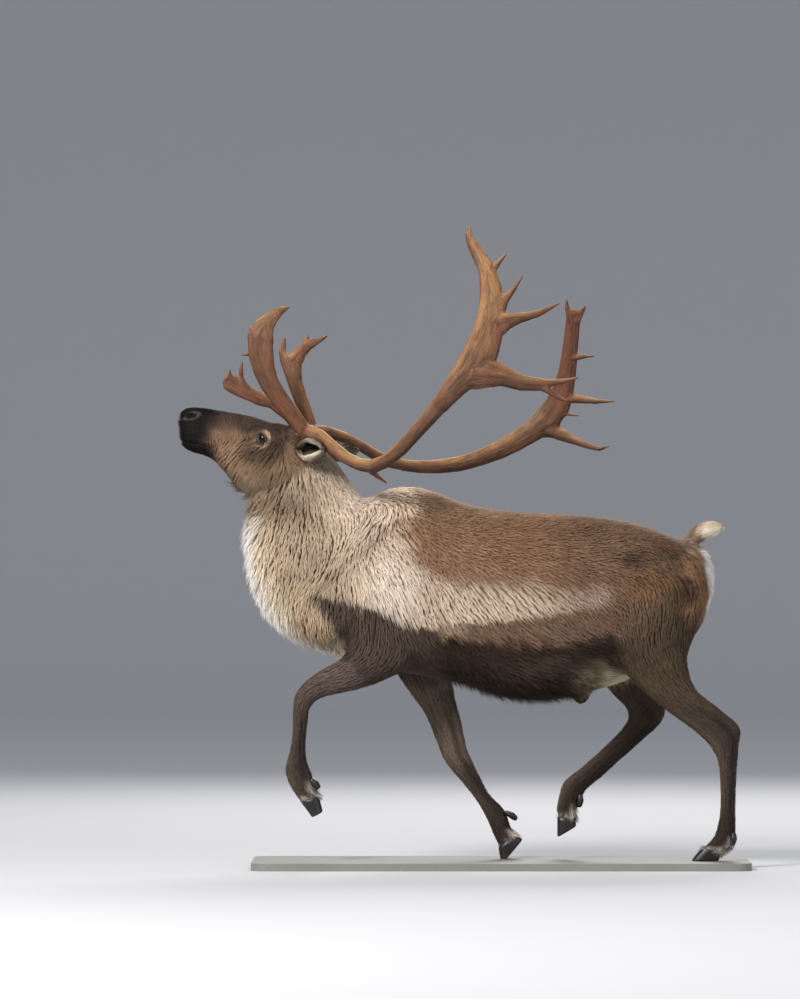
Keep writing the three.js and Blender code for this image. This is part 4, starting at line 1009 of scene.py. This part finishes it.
# Depth of the coat
# How long the hair is at each point, how high its tips stand over the skin, and how strongly it gathers in
# locks. It is some 75 mm long at the throat, about half that on the back, and lies close on the nose and
# shanks.
thigh = ease(Z, .45, .85)
pale_band = ease(band, .2, .8) * ease(.34 - mx, 0, .2)
cape = ease(-.285 - X, -.02, .03)
keel = trunk * ease(.70 - Z, 0, .08)
length = (
    trunk * (.025 + .016 * cape + .010 * pale_band + .026 * ease(.70 - Z, 0, .08) + .012 * ease(X, .5, .66))
    + share_of["sheath"] * .020
    + neck * (.034 + .016 * ease(throat, -.6, .2))
    + tail * (.050 - .022 * ease(along_of["tail"], .6, 1))
    + on_legs * (.012 + .016 * thigh)
    + face_share * (.006 + .005 * ease(HX, -1.03, -.90) + .012 * cheek)
)
lift = (
    trunk * TRUNK_COAT
    + share_of["sheath"] * .006
    + neck * (NECK_COAT + .018 * ease(throat, -.5, .8) * ease(down_neck, .03, .28))
    + tail * .012
    + on_legs * (LEG_COAT + .008 * thigh) * .9
    + face_share * (.0026 + .0056 * cheek)
)
fringed = neck * ease(throat, .72, .90) + keel
gather = (
    .2 * fringed + neck * (.35 + .60 * ease(throat, -.75, -.1))
    + trunk * (.15 + .60 * np.maximum(cape, pale_band) + .4 * ease(.70 - Z, 0, .08))
    + on_legs * (.30 + .40 * thigh)
    + face_share * (.40 + .50 * cheek)
)
# How dark the roots and the grooves between locks are painted as shade between the tips, from 0 in a close
# smooth coat to 1 in open locks; it also sets how deep the grooves between locks run
open_coat = (
    neck * (.30 + .56 * ease(throat, -.75, -.1))
    + trunk * (.25 + .45 * np.maximum(cape * .8, pale_band) + .25 * ease(.70 - Z, 0, .08))
    + on_legs * (.35 + .30 * thigh)
    + face_share * (.35 + .52 * cheek)
)
width = 1 - .30 * trunk * (1 - np.maximum(cape, pale_band)) + .10 * neck * ease(throat, -.6, .1)
length[EAR_START:] = .012 + .005 * ear_rim[EAR_START:] + .012 * ear_lining[EAR_START:]
lift[EAR_START:] = .0035 + .002 * ear_rim[EAR_START:] + .004 * ear_lining[EAR_START:]
lift += .0035 * np.minimum(coronet, 1)
gather[EAR_START:] = .7
open_coat[EAR_START:] = .7
width[EAR_START:] = 1 + .3 * ear_rim[EAR_START:]


def carry(mesh, colours):
    """Gives the points of a mesh their colours."""
    tint = mesh.attributes.new("Tint", "FLOAT_COLOR", "POINT")
    whole = np.column_stack([colours, np.ones(len(colours))])
    tint.data.foreach_set("color", whole.astype(np.float32).ravel())


# The hide's mesh, darker than the coat that grows from it
UNDER_COAT = .62
mesh = bpy.data.meshes.new("skin")
quads_only = skin_faces[:, 2] != skin_faces[:, 3]
face_list = [tuple(f) if q else tuple(f[:3]) for f, q in zip(skin_faces.tolist(), quads_only)]
mesh.from_pydata(skin_points.tolist(), [], face_list)
mesh.shade_smooth()
carry(mesh, tone * UNDER_COAT)
skin = bpy.data.objects.new("skin", mesh)
bpy.context.scene.collection.objects.link(skin)


def coat_material(name, roughness):
    """Hair: the colours it carries from root to tip, and a fine unevenness."""
    made = shader(name, roughness, specular=.14)
    return uneven(made, (130, 3), (.80, .79, .78), (1.2, 1.2, 1.2), (130, 3, .4, .001))


skin.data.materials.append(coat_material("hide", .8))
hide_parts("head", "neck", "torso", "tail", "ear_left", "ear_right", *(f"leg_{name}" for name in LEGS))
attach(skin, "root")

# The coat
# Tufts of hollow guard hair, each a thin tapered lock with a low ridge. Every tuft starts in the hide, runs
# along the lie of the coat, leans on the tufts behind it and ends in a point, and its neighbours gather
# with it in locks.


def tree_of(points):
    """A search tree over points, which it numbers from 0."""
    tree = KDTree(len(points))
    for index, point in enumerate(points):
        tree.insert(point, index)
    tree.balance()
    return tree


hide_tree = tree_of(skin_points)
a, b, c, d = skin_points[skin_faces.T]
face_area = .5 * np.linalg.norm(np.cross(c - a, d - b), axis=1)


def on_faces(values, faces, mix):
    """Values of the hide's points, taken at places within its faces."""
    return np.sum(values[skin_faces[faces]] * mix.reshape(*mix.shape, *[1] * (values.ndim - 1)), 1)


def rooted(draw, chosen, spacing):
    """Places strewn over the chosen share of the hide, about spacing apart: their faces and corner shares."""
    wanted = face_area / spacing ** 2 * chosen[skin_faces].mean(1)
    count = np.floor(wanted + draw.random(len(skin_faces))).astype(int)
    faces = np.repeat(np.arange(len(skin_faces)), count)
    rank = np.arange(len(faces)) - np.repeat(np.cumsum(count) - count, count)
    s = (rank + draw.random(len(faces))) / count[faces]
    t = (draw.random(len(faces)) * .5 + rank * .618) % 1
    return faces, np.stack([(1 - s) * (1 - t), s * (1 - t), s * t, (1 - s) * t], 1)


def combed(points, way, long, steps):
    """The course of each tuft along the hide: its places, the hide's normals there and its direction."""
    here, heading = points.copy(), way.copy()
    near = np.array([hide_tree.find(p)[1] for p in here])
    normal = skin_normals[near]
    places, normals, ways = [here], [normal], [heading]
    for _ in range(steps):
        here = here + heading * (long / steps)[:, None]
        near = np.array([hide_tree.find(p)[1] for p in here])
        normal = unit(normal * .4 + skin_normals[near])
        here = here - normal * np.sum((here - skin_points[near]) * normal, 1, keepdims=True)
        heading = flattened(heading + .5 * lie[near], normal)
        places.append(here)
        normals.append(normal)
        ways.append(heading)
    return np.stack(places, 1), np.stack(normals, 1), np.stack(ways, 1)


def spread_out(picked, root, way, side, gap, drawn):
    """Of the picked tufts, those that keep a lock's width or a lock's length from the ones before them."""
    tree = tree_of(root[picked])
    kept = np.ones(len(picked), bool)
    for index, number in enumerate(picked):
        if kept[index]:
            near = np.array([found[1] for found in tree.find_n(root[number], 24)])
            near = near[near > index]
            offset = root[picked[near]] - root[number]
            across, along = offset @ side[number], offset @ way[number]
            rest = np.maximum(np.sum(offset * offset, 1) - across ** 2 - along ** 2, 0)
            kept[near[across ** 2 + (along / drawn) ** 2 + rest < (.72 * gap) ** 2]] = False
    return picked[kept]


def tufts(
    seed, chosen, spacing, half, rings, lock_gap,
    drawn=3.5, wave=.0014, longer=1.0, stand=0.0, curl=1.6, whiter=None, loose=0.0,
):
    """
    Tufts over a chosen share of the hide. half is half a tuft's width and lock_gap a lock's width. A lock is
    drawn times as long as wide and swings by wave to the sides. stand is how far the tips leave the coat,
    and loose is how straight they run on where the hide turns away. whiter is how white the hair is there.
    """
    draw = np.random.default_rng(seed)
    faces, mix = rooted(draw, chosen, spacing)
    count = len(faces)
    root = on_faces(skin_points, faces, mix)
    long = on_faces(length, faces, mix) * longer * draw.uniform(.88, 1.12, count)
    high = on_faces(lift, faces, mix) * draw.uniform(.75, 1.08, count)
    out = unit(on_faces(skin_normals, faces, mix))
    way = flattened(on_faces(lie, faces, mix), out)
    side = np.cross(out, way)

    lead = np.flatnonzero(draw.random(count) < 2.6 * spacing ** 2 / (drawn * lock_gap ** 2))
    lead = spread_out(draw.permutation(lead), root, way, side, lock_gap, drawn)
    lead_tree = tree_of(root[lead])
    around = min(8, len(lead))
    near = lead[np.array([[found[1] for found in lead_tree.find_n(p, around)] for p in root])]
    offset = root[:, None] - root[near]
    astray = np.sum(offset * side[near], -1)
    ahead = np.sum(offset * way[near], -1)
    aside = np.sum(offset * offset, -1) - astray ** 2 - ahead ** 2
    best = (astray ** 2 + (ahead / drawn) ** 2 + aside).argmin(1)
    leader, astray, ahead = (values[np.arange(count), best] for values in (near, astray, ahead))

    long *= draw.uniform(.80, 1.22, count)[leader]
    rising = stand * draw.uniform(.3, 1.7, count)[leader] * draw.uniform(.85, 1.15, count)
    way = unit(way + side * draw.normal(0, .08, count)[:, None])
    places, normals, ways = combed(root, way, long, rings)
    share = np.linspace(0, 1, rings + 1)
    straight = root[:, None] + way[:, None] * (long[:, None] * share)[..., None]
    places += loose * (straight - places)
    normals = unit(normals + loose * (out[:, None] - normals))
    ways = unit(ways + loose * (way[:, None] - ways))
    arch = 1 - (1 - share) ** curl
    depth = on_faces(open_coat, faces, mix)[:, None]
    pull = on_faces(gather, faces, mix)[:, None] * share ** .8 * draw.uniform(.80, 1.05, (count, 1))
    off_line = astray[:, None] * (1 - pull) / (.5 * lock_gap)
    groove = ease(np.abs(off_line), .25, .85)
    body = places + normals * (high[:, None] * arch * (1 - .45 * depth * groove))[..., None]
    body += normals * ((rising * long)[:, None] * share ** 2)[..., None]
    sideways = unit(np.cross(normals, ways))
    reach = draw.uniform(.5, 1.5, count)[leader][:, None]
    pace = 2 * np.pi / (draw.uniform(.75, 1.35, count) * 2.6 * lock_gap)[leader][:, None]
    start = draw.uniform(0, 6.3, count)[leader][:, None]
    swing = wave * reach * np.sin(pace * (ahead[:, None] + long[:, None] * share) + start)
    body += sideways * (swing - astray[:, None] * pull)[..., None]

    broad = half * draw.uniform(.75, 1.25, count) * on_faces(width, faces, mix)
    wide = broad[:, None] * np.interp(share, [0, .35, .75, 1], [.75, 1, .75, 0])
    ridge = body + normals * wide[..., None] * .55
    left = body - sideways * wide[..., None] - normals * wide[..., None] * .25
    right = body + sideways * wide[..., None] - normals * wide[..., None] * .25
    points = np.stack([left[:, :-1], ridge[:, :-1], right[:, :-1]], 2).reshape(count, -1, 3)
    points = np.concatenate([points, body[:, -1:]], 1)

    lock_tone = draw.uniform(.92, 1.08, count)[leader] * draw.uniform(.90, 1.10, count)
    # Painted shade and light from root to tip: where the coat is open the roots are darker as the shade deep
    # in the coat, the grooves between locks darker still, with warmer darks, and the tips a little lighter
    # than the marking
    shade = (1 - depth * np.interp(share, [0, .5, 1], [.80, .18, -.14])[None, :]) * (1 - .72 * depth * groove)
    shade = (shade * lock_tone[:, None])[..., None] ** np.array([1, 1.10, 1.22])
    colour = on_faces(tone, faces, mix)
    if whiter is not None:
        colour = colour + on_faces(whiter, faces, mix)[:, None] * (paint("f4efe8") - colour)
    colour = colour[:, None, :] * shade
    tints = np.repeat(colour[:, :-1], 3, 1)
    tints = np.concatenate([tints, colour[:, -1:]], 1)
    tilted = unit(normals + sideways * (.9 * depth * off_line)[..., None])
    facing = np.repeat(tilted[:, :-1], 3, 1)
    facing = np.concatenate([facing, tilted[:, -1:]], 1)
    return {"points": points, "tints": tints, "facing": facing, "rings": rings, "root": root,
            "along": on_faces(chart_u, faces, mix), "round": on_faces(chart_v, faces, mix)}


PATCH = .003


def coat_piece(name, made, slot, chosen=slice(None)):
    """One piece of the coat from the chosen tufts: its mesh, colours, normals and the patches of its map."""
    points = made["points"][chosen]
    count, each = points.shape[:2]
    rings = made["rings"]
    strip = []
    for ring in range(rings - 1):
        a = 3 * ring
        strip += [(a, a + 1, a + 4), (a, a + 4, a + 3), (a + 1, a + 2, a + 5), (a + 1, a + 5, a + 4)]
    a = 3 * (rings - 1)
    strip += [(a, a + 1, a + 3), (a + 1, a + 2, a + 3)]
    strip = np.array(strip)[:, ::-1]
    corners = (strip[None] + np.arange(count)[:, None, None] * each).ravel().astype(np.int32)
    mesh = bpy.data.meshes.new(name)
    mesh.vertices.add(count * each)
    mesh.vertices.foreach_set("co", points.astype(np.float32).ravel())
    mesh.loops.add(len(corners))
    mesh.loops.foreach_set("vertex_index", corners)
    mesh.polygons.add(len(corners) // 3)
    mesh.polygons.foreach_set("loop_start", np.arange(0, len(corners), 3, dtype=np.int32))
    mesh.update(calc_edges=True)
    mesh.validate()
    mesh.shade_smooth()

    carry(mesh, made["tints"][chosen].reshape(-1, 3))
    own = np.empty(count * each * 3, np.float32)
    mesh.vertices.foreach_get("normal", own)
    facing = made["facing"][chosen].reshape(-1, 3)
    mesh.normals_split_custom_set_from_vertices(unit(own.reshape(-1, 3) + .9 * facing))

    chart = mesh.uv_layers.new(name="OFBake")
    place = np.stack([made["along"][chosen], made["round"][chosen]], 1)
    place = .01 + .98 * (place - place.min(0)) / (place.max(0) - place.min(0))
    local = np.zeros((each, 2))
    for ring in range(rings):
        local[3 * ring:3 * ring + 3] = [(-1, ring), (0, ring), (1, ring)]
    local[-1] = (0, rings)
    local = local / (1, rings) * (PATCH / 2, PATCH) - (0, PATCH / 2)
    patches = (place[:, None] + local[None]).reshape(-1, 2)
    chart.data.foreach_set("uv", patches[corners].astype(np.float32).ravel())
    made_piece = bpy.data.objects.new(name, mesh)
    bpy.context.scene.collection.objects.link(made_piece)
    mesh.materials.append(guard)
    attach(made_piece, "root")


# The unwrap of the hide: how far along its part a point lies, and how far round it
chart_u = np.zeros(ALL)
chart_v = np.zeros(ALL)
for index, chart in enumerate(charts):
    mine = owner == index
    chart_u[mine] = chart[1][mine]
    chart_v[mine] = chart[2][mine] / (2 * np.pi) + .5
for (points, _, lining, share, turn, *_), start in zip(ear_parts, starts[2:]):
    chart_u[start:start + len(points)] = share
    chart_v[start:start + len(points)] = (turn / (2 * np.pi) + lining) / 2

TRUNK_PART, SHEATH_PART = part_names.index("trunk"), part_names.index("sheath")
NECK_PART, TAIL_PART = part_names.index("neck"), part_names.index("tail")
LEG_PARTS = [part_names.index(name) for name in LEGS]


def sunk(inner, outer, depth):
    """Which points of one span of the hide lie under the surface of another."""
    tree = tree_of(skin_points[outer])
    near = np.array([tree.find(p)[1] for p in skin_points[inner]]) + outer.start
    return np.sum((skin_points[inner] - skin_points[near]) * skin_normals[near], 1) < -depth


body_span, head_span = slice(0, starts[1]), slice(starts[1], EAR_START)
hidden = np.zeros(ALL, bool)
hidden[head_span] = sunk(head_span, body_span, .004)
hidden[body_span] = sunk(body_span, head_span, .004) & (share_of["neck"][body_span] > .3)
seen = (~hidden).astype(float) * (1 - bare)
guard = coat_material("guard_hair", .62)
on_body = np.zeros(ALL)
on_body[:starts[1]] = 1

END = 9
trunk_coat = tufts(11, seen * on_body * (owner == TRUNK_PART), .0054, .0017, 3, .0100)
where = trunk_coat["root"][:, 0]
for name, first, last in (
    ("coat_shoulder", -END, -.20),
    ("coat_saddle", -.20, .07),
    ("coat_flank", .07, .34),
    ("coat_rump", .34, END),
):
    coat_piece(name, trunk_coat, "coat_brown", (where >= first) & (where < last))
neck_coat = tufts(12, seen * on_body * (owner == NECK_PART), .0048, .0014, 4, .0105, drawn=4.0, wave=.0018)
where = neck_coat["root"][:, 2] - GROUND
coat_piece("mane_upper", neck_coat, "mane", where >= 1.08)
coat_piece("mane_lower", neck_coat, "mane", where < 1.08)
legs_and_sheath = np.isin(owner, LEG_PARTS + [SHEATH_PART])
leg_coat = tufts(13, seen * on_body * legs_and_sheath, .0045, .0014, 2, .009, wave=.0008)
coat_piece("coat_fore_legs", leg_coat, "leg_coat", leg_coat["root"][:, 0] < .1)
coat_piece("coat_hind_legs", leg_coat, "leg_coat", leg_coat["root"][:, 0] >= .1)
head_coat = tufts(14, seen * (1 - on_body), .0032, .00095, 2, .0085, drawn=2.8, wave=.0015)
coat_piece("coat_face", head_coat, "face_coat")
tail_coat = tufts(15, seen * (owner == TAIL_PART), .0026, .0011, 4, .008, stand=.12, loose=.35)
coat_piece("coat_tail", tail_coat, "tail_white")

# The fringe of the throat: long locks that leave the neck in points, brown under the jaw and white below it
fringe = seen * (owner == NECK_PART) * ease(throat, .66, .92) * ease(1.300 - Z, 0, .06)
white_share = ease(throat, .74, .98) * ease(1.235 - Z, 0, .06) * .70
fringe_coat = tufts(
    16, fringe, .0056, .0014, 5, .014,
    drawn=1.3, wave=.0022, longer=1.5, stand=.20, curl=1.3, whiter=white_share,
)
coat_piece("mane_fringe", fringe_coat, "mane")

# The keel of the belly: bristles that hang a little out of the coat
downward = ease(-skin_normals[:, 2], .5, .85)
bristle = seen * on_body * keel * downward * ease(X, -.28, -.15) * ease(.30 - X, 0, .06)
keel_coat = tufts(17, bristle, .0068, .0016, 4, .011, drawn=1.2, longer=.7, stand=.45)
coat_piece("coat_belly_keel", keel_coat, "coat_brown")

# The white hair of the seat, which stands off the rump, and the long hair over the top of the hooves
seat = seen * on_body * seat_patch * (owner == TRUNK_PART)
seat_coat = tufts(18, seat, .0050, .0014, 4, .010, drawn=1.5, longer=.8, stand=.26, loose=.3)
coat_piece("coat_seat", seat_coat, "tail_white")
foot = seen * on_body * coronet * np.isin(owner, LEG_PARTS)
foot_coat = tufts(19, foot, .0034, .0010, 4, .007, drawn=1.5, longer=2.0, stand=.42, loose=.85)
coat_piece("coat_feet", foot_coat, "leg_coat")

# The eyes
# Dark brown balls with a bulging clear front, a pupil that is wider than high, and between lids rimmed with
# bare black skin. Each ball is built facing up and then turned to look out of its socket.
EYE_RINGS = 40
EYE_SIDES = 64
CORNEA = .0010
turn = 2 * np.pi * np.arange(EYE_SIDES) / EYE_SIDES
polar = np.pi * (np.arange(1, EYE_RINGS) / EYE_RINGS) ** 1.3
bulge = CORNEA * np.exp(-(polar / .55) ** 4)
ball = np.stack([
    np.outer(np.sin(polar), np.cos(turn)), np.outer(np.sin(polar), np.sin(turn)),
    np.outer(np.cos(polar), np.ones(EYE_SIDES)),
], -1) * (EYE_RADIUS - CORNEA + bulge)[:, None, None]
ball_points, ball_faces = closed(ball)
flat = ball_points / EYE_RADIUS
pupil = 1 - ease(np.hypot(flat[:, 0] / .50, flat[:, 1] / .36), .9, 1.1)
iris = 1 - ease(np.hypot(flat[:, 0], flat[:, 1]), .60, .68)
clock = np.arctan2(flat[:, 1], flat[:, 0])
fibres = .5 + .5 * np.sin(31 * clock) * np.sin(17 * clock + 1)
eye_tone = np.tile(paint("1c1310"), (len(flat), 1))
eye_tone += iris[:, None] * (paint("3c2214") * (.75 + .5 * fibres[:, None]) - eye_tone)
eye_tone += pupil[:, None] * (paint("07060a") - eye_tone)
wet, tree, face = shader("wet_eye", .12, coat=.4, specular=.06)
face.inputs["Coat Roughness"].default_value = .03
tree.links.new(carried(tree), face.inputs["Base Color"])
lid_skin = uneven(
    shader("lid_skin", .38), (900, 3), paint("120d0c"), paint("2b211d"), (900, 3, .5, .0006), tinted=False,
)

# The rim of the lids: a thin roll along the almond, thicker above than below
LID_STEPS = 32
RIM = 2 * LID_STEPS
ROLL = 12
sweep = np.concatenate([np.linspace(-1, 1, LID_STEPS + 1)[:-1], np.linspace(1, -1, LID_STEPS + 1)[:-1]])
upper = np.arange(RIM) < LID_STEPS
arch = np.maximum(1 - sweep ** 2, 0)
rim_along = sweep * ALMOND_LONG * 1.04
rim_up = np.where(upper, ALMOND_HIGH, -LOWER_LID * ALMOND_HIGH) * arch
rim_thick = np.where(upper, .0030, .0022) * arch ** .5 + .0012
rim_out = np.sqrt(np.maximum((EYE_RADIUS + .0006) ** 2 - rim_along ** 2 - rim_up ** 2, 1e-6))
rim_middle = rim_along[:, None] * EYE_ALONG + rim_up[:, None] * EYE_UP + rim_out[:, None] * EYE_OUT
rim_normal = unit(rim_middle)
rim_course = unit(np.roll(rim_middle, -1, 0) - np.roll(rim_middle, 1, 0))
rim_side = unit(np.cross(rim_normal, rim_course))
loop = (2 * np.pi * np.arange(ROLL) / ROLL)[None, :, None]
rolled = np.cos(loop) * rim_normal[:, None] + np.sin(loop) * rim_side[:, None]
rim = (rim_middle[:, None] + rim_thick[:, None, None] * rolled).reshape(-1, 3)
rim_faces = [
    (a * ROLL + b, a * ROLL + (b + 1) % ROLL, (a + 1) % RIM * ROLL + (b + 1) % ROLL, (a + 1) % RIM * ROLL + b)
    for a in range(RIM) for b in range(ROLL)
]


def dressed(made, material, colours=None):
    """Finishes a piece: smooth, in its material, with its colours if it carries any."""
    if colours is not None:
        carry(made.data, colours)
    made.data.shade_smooth()
    made.data.materials.append(material)
    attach(made, "root")


for side_name, flip in (("left", np.ones(3)), ("right", MIRROR)):
    axes = np.stack([EYE_ALONG, EYE_UP, EYE_OUT])
    eye = piece(f"eyeball_{side_name}", swung((ball_points @ axes + EYE) * flip, HEAD_TURN), ball_faces)
    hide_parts(f"eye_{side_name}")
    dressed(eye, wet, eye_tone)
    lids = piece(f"lids_{side_name}", swung((rim + EYE) * flip, HEAD_TURN), rim_faces)
    dressed(lids, lid_skin)

# The antlers
# Bare bone stained red-brown by bark, with grooves along it where the blood ran under the velvet, flattened
# palms, and dark ends to the finest points. Each antler is one piece on its burr, melted together from
# beam, palms and tines.
antler_bone = uneven(
    shader("antler_bone", .58, specular=.32),
    (22, 3), (.72, .66, .60), (1.22, 1.18, 1.12), (420, 4, .35, .0012),
)
ANTLER_VOXEL = .0032
CROWN_OF_HEAD = np.array([-.690, .01, 1.44 + GROUND])


def solid_of(name):
    """A frame node as a shell, grown a little so that it melts into its neighbours."""
    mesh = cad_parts[name].data
    points = np.empty(len(mesh.vertices) * 3, np.float32)
    normals = np.empty(len(mesh.vertices) * 3, np.float32)
    mesh.vertices.foreach_get("co", points)
    mesh.vertices.foreach_get("normal", normals)
    points = points.reshape(-1, 3) + .0005 * normals.reshape(-1, 3)
    return points.astype(float), [tuple(f.vertices) for f in mesh.polygons]


def grain_of(points, edges, faces, fine, run, seed):
    """A ripple as wide as fine, drawn out along the course of a branching form as far as run."""
    normals = normals_of(points, faces)
    spread = np.einsum("ni,nj->nij", normals, normals).reshape(-1, 9)
    spread = averaged(spread, edges, 70)
    course = np.linalg.eigh(spread.reshape(-1, 3, 3))[1][:, :, 0]
    draw = np.random.default_rng(seed)
    total, power = np.zeros(len(points)), np.zeros(len(points))
    for _ in range(220):
        wave = unit(draw.normal(size=3)) * 2 * np.pi / fine * draw.uniform(.5, 1.3)
        amount = np.exp(-(course @ wave * run) ** 2 / 2)
        total += amount * np.sin(points @ wave + draw.uniform(0, 6.3))
        power += amount ** 2
    return total / np.sqrt(power + .5)


for antler, parts in (
    ("antler_left", ("beam", "palm", "back_tine", "bez")),
    ("antler_right", ("beam", "palm", "bez", "brow")),
):
    nodes = [f"{antler}_{part}" for part in parts]
    points, faces = fused([solid_of(node) for node in nodes], ANTLER_VOXEL)
    edges = edges_of(faces)
    points = polished(averaged(points, edges, 9), edges, 45)
    normals = normals_of(points, faces)
    streak = grain_of(points, edges, faces, .011, .020, 21)
    fine_streak = grain_of(points, edges, faces, .0045, .012, 22)
    hollow = grain_of(points, edges, faces, .045, .070, 23)
    points += normals * (.0019 * hollow - .0009 * np.abs(streak) + .0010 + .0003 * fine_streak)[:, None]
    base = np.exp(-(np.linalg.norm(points - CROWN_OF_HEAD, axis=1) / .13) ** 2)
    bone = np.tile(paint("63432f"), (len(points), 1))
    # Painted light and shade: faces that look up are painted lighter and faces that look down darker
    bone += (ease(normals[:, 2], -.1, .8) * .85)[:, None] * (paint("ab8254") - bone)
    bone += (ease(-normals[:, 2], .0, .8) * .85)[:, None] * (paint("3c281b") - bone)
    bone += (ease(mottle(points, .14, 31), -.1, .8) * .50)[:, None] * (paint("6e4232") - bone)
    bone += (base * .6)[:, None] * (paint("8a5840") - bone)
    sparse = tree_of(points[::8])
    bulk = np.array([len(sparse.find_range(p, .035)) for p in points], float)
    tip = ease(.36 - bulk / np.median(bulk), 0, .15)
    tip = averaged(tip[:, None], edges, 12)[:, 0]
    bone += (tip * .75)[:, None] * (paint("3a281d") - bone)
    # Painted shade: the broad hollows are darker and the swells between them lighter; the streaks follow the
    # bone's grain
    bone *= (1 + .16 * hollow - .34 * ease(.45 - np.abs(streak), 0, .45) + .18 * fine_streak)[:, None]
    horn = piece(antler, points, faces)
    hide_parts(*nodes)
    dressed(horn, antler_bone, bone)

# The hooves
# Two broad black claws to each foot with growth rings round the wall, and two dewclaws behind the fetlock,
# of dull horn a little worn along the lower edge.
hoof_horn = uneven(shader("hoof_horn", .42), (160, 5), (.65, .65, .65), (1.6, 1.5, 1.4), (160, 5, .5, .001))
HOOF_VOXEL = .0024
GROWTH_RING = .0052
for name, rows in LEGS.items():
    nodes = [f"{kind}_{name}_{which}" for kind in ("hoof", "dewclaw") for which in ("outer", "inner")]
    points, faces = fused([solid_of(node) for node in nodes], HOOF_VOXEL)
    edges = edges_of(faces)
    points = polished(averaged(points, edges, 9), edges, 30)
    normals = normals_of(points, faces)
    points += .0011 * normals
    x1, z1, x2, z2 = rows[-1][:4]
    above = rows[-3]
    shank = unit(np.array([(x1 + x2 - above[0] - above[2]), 0, (z1 + z2 - above[1] - above[3])]))
    down = points @ shank
    claw_top = min((solid_of(node)[0] @ shank).min() for node in nodes if node.startswith("hoof"))
    under_hair = ease(claw_top + .018 - down, 0, .018) * ease(down, claw_top - .012, claw_top - .002)
    points += normals * (.00022 * np.sin(down * 2 * np.pi / GROWTH_RING) - .0055 * under_hair)[:, None]
    banded = 1 + .25 * np.sin(down * np.pi / GROWTH_RING)
    horn_tone = paint("161211") * banded[:, None]
    horn_tone += ease(down - down.max(), -.018, 0)[:, None] * (paint("3c332d") - horn_tone) * .6
    hoof = piece(f"hooves_{name}", points, faces)
    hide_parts(*nodes)
    dressed(hoof, hoof_horn, horn_tone)
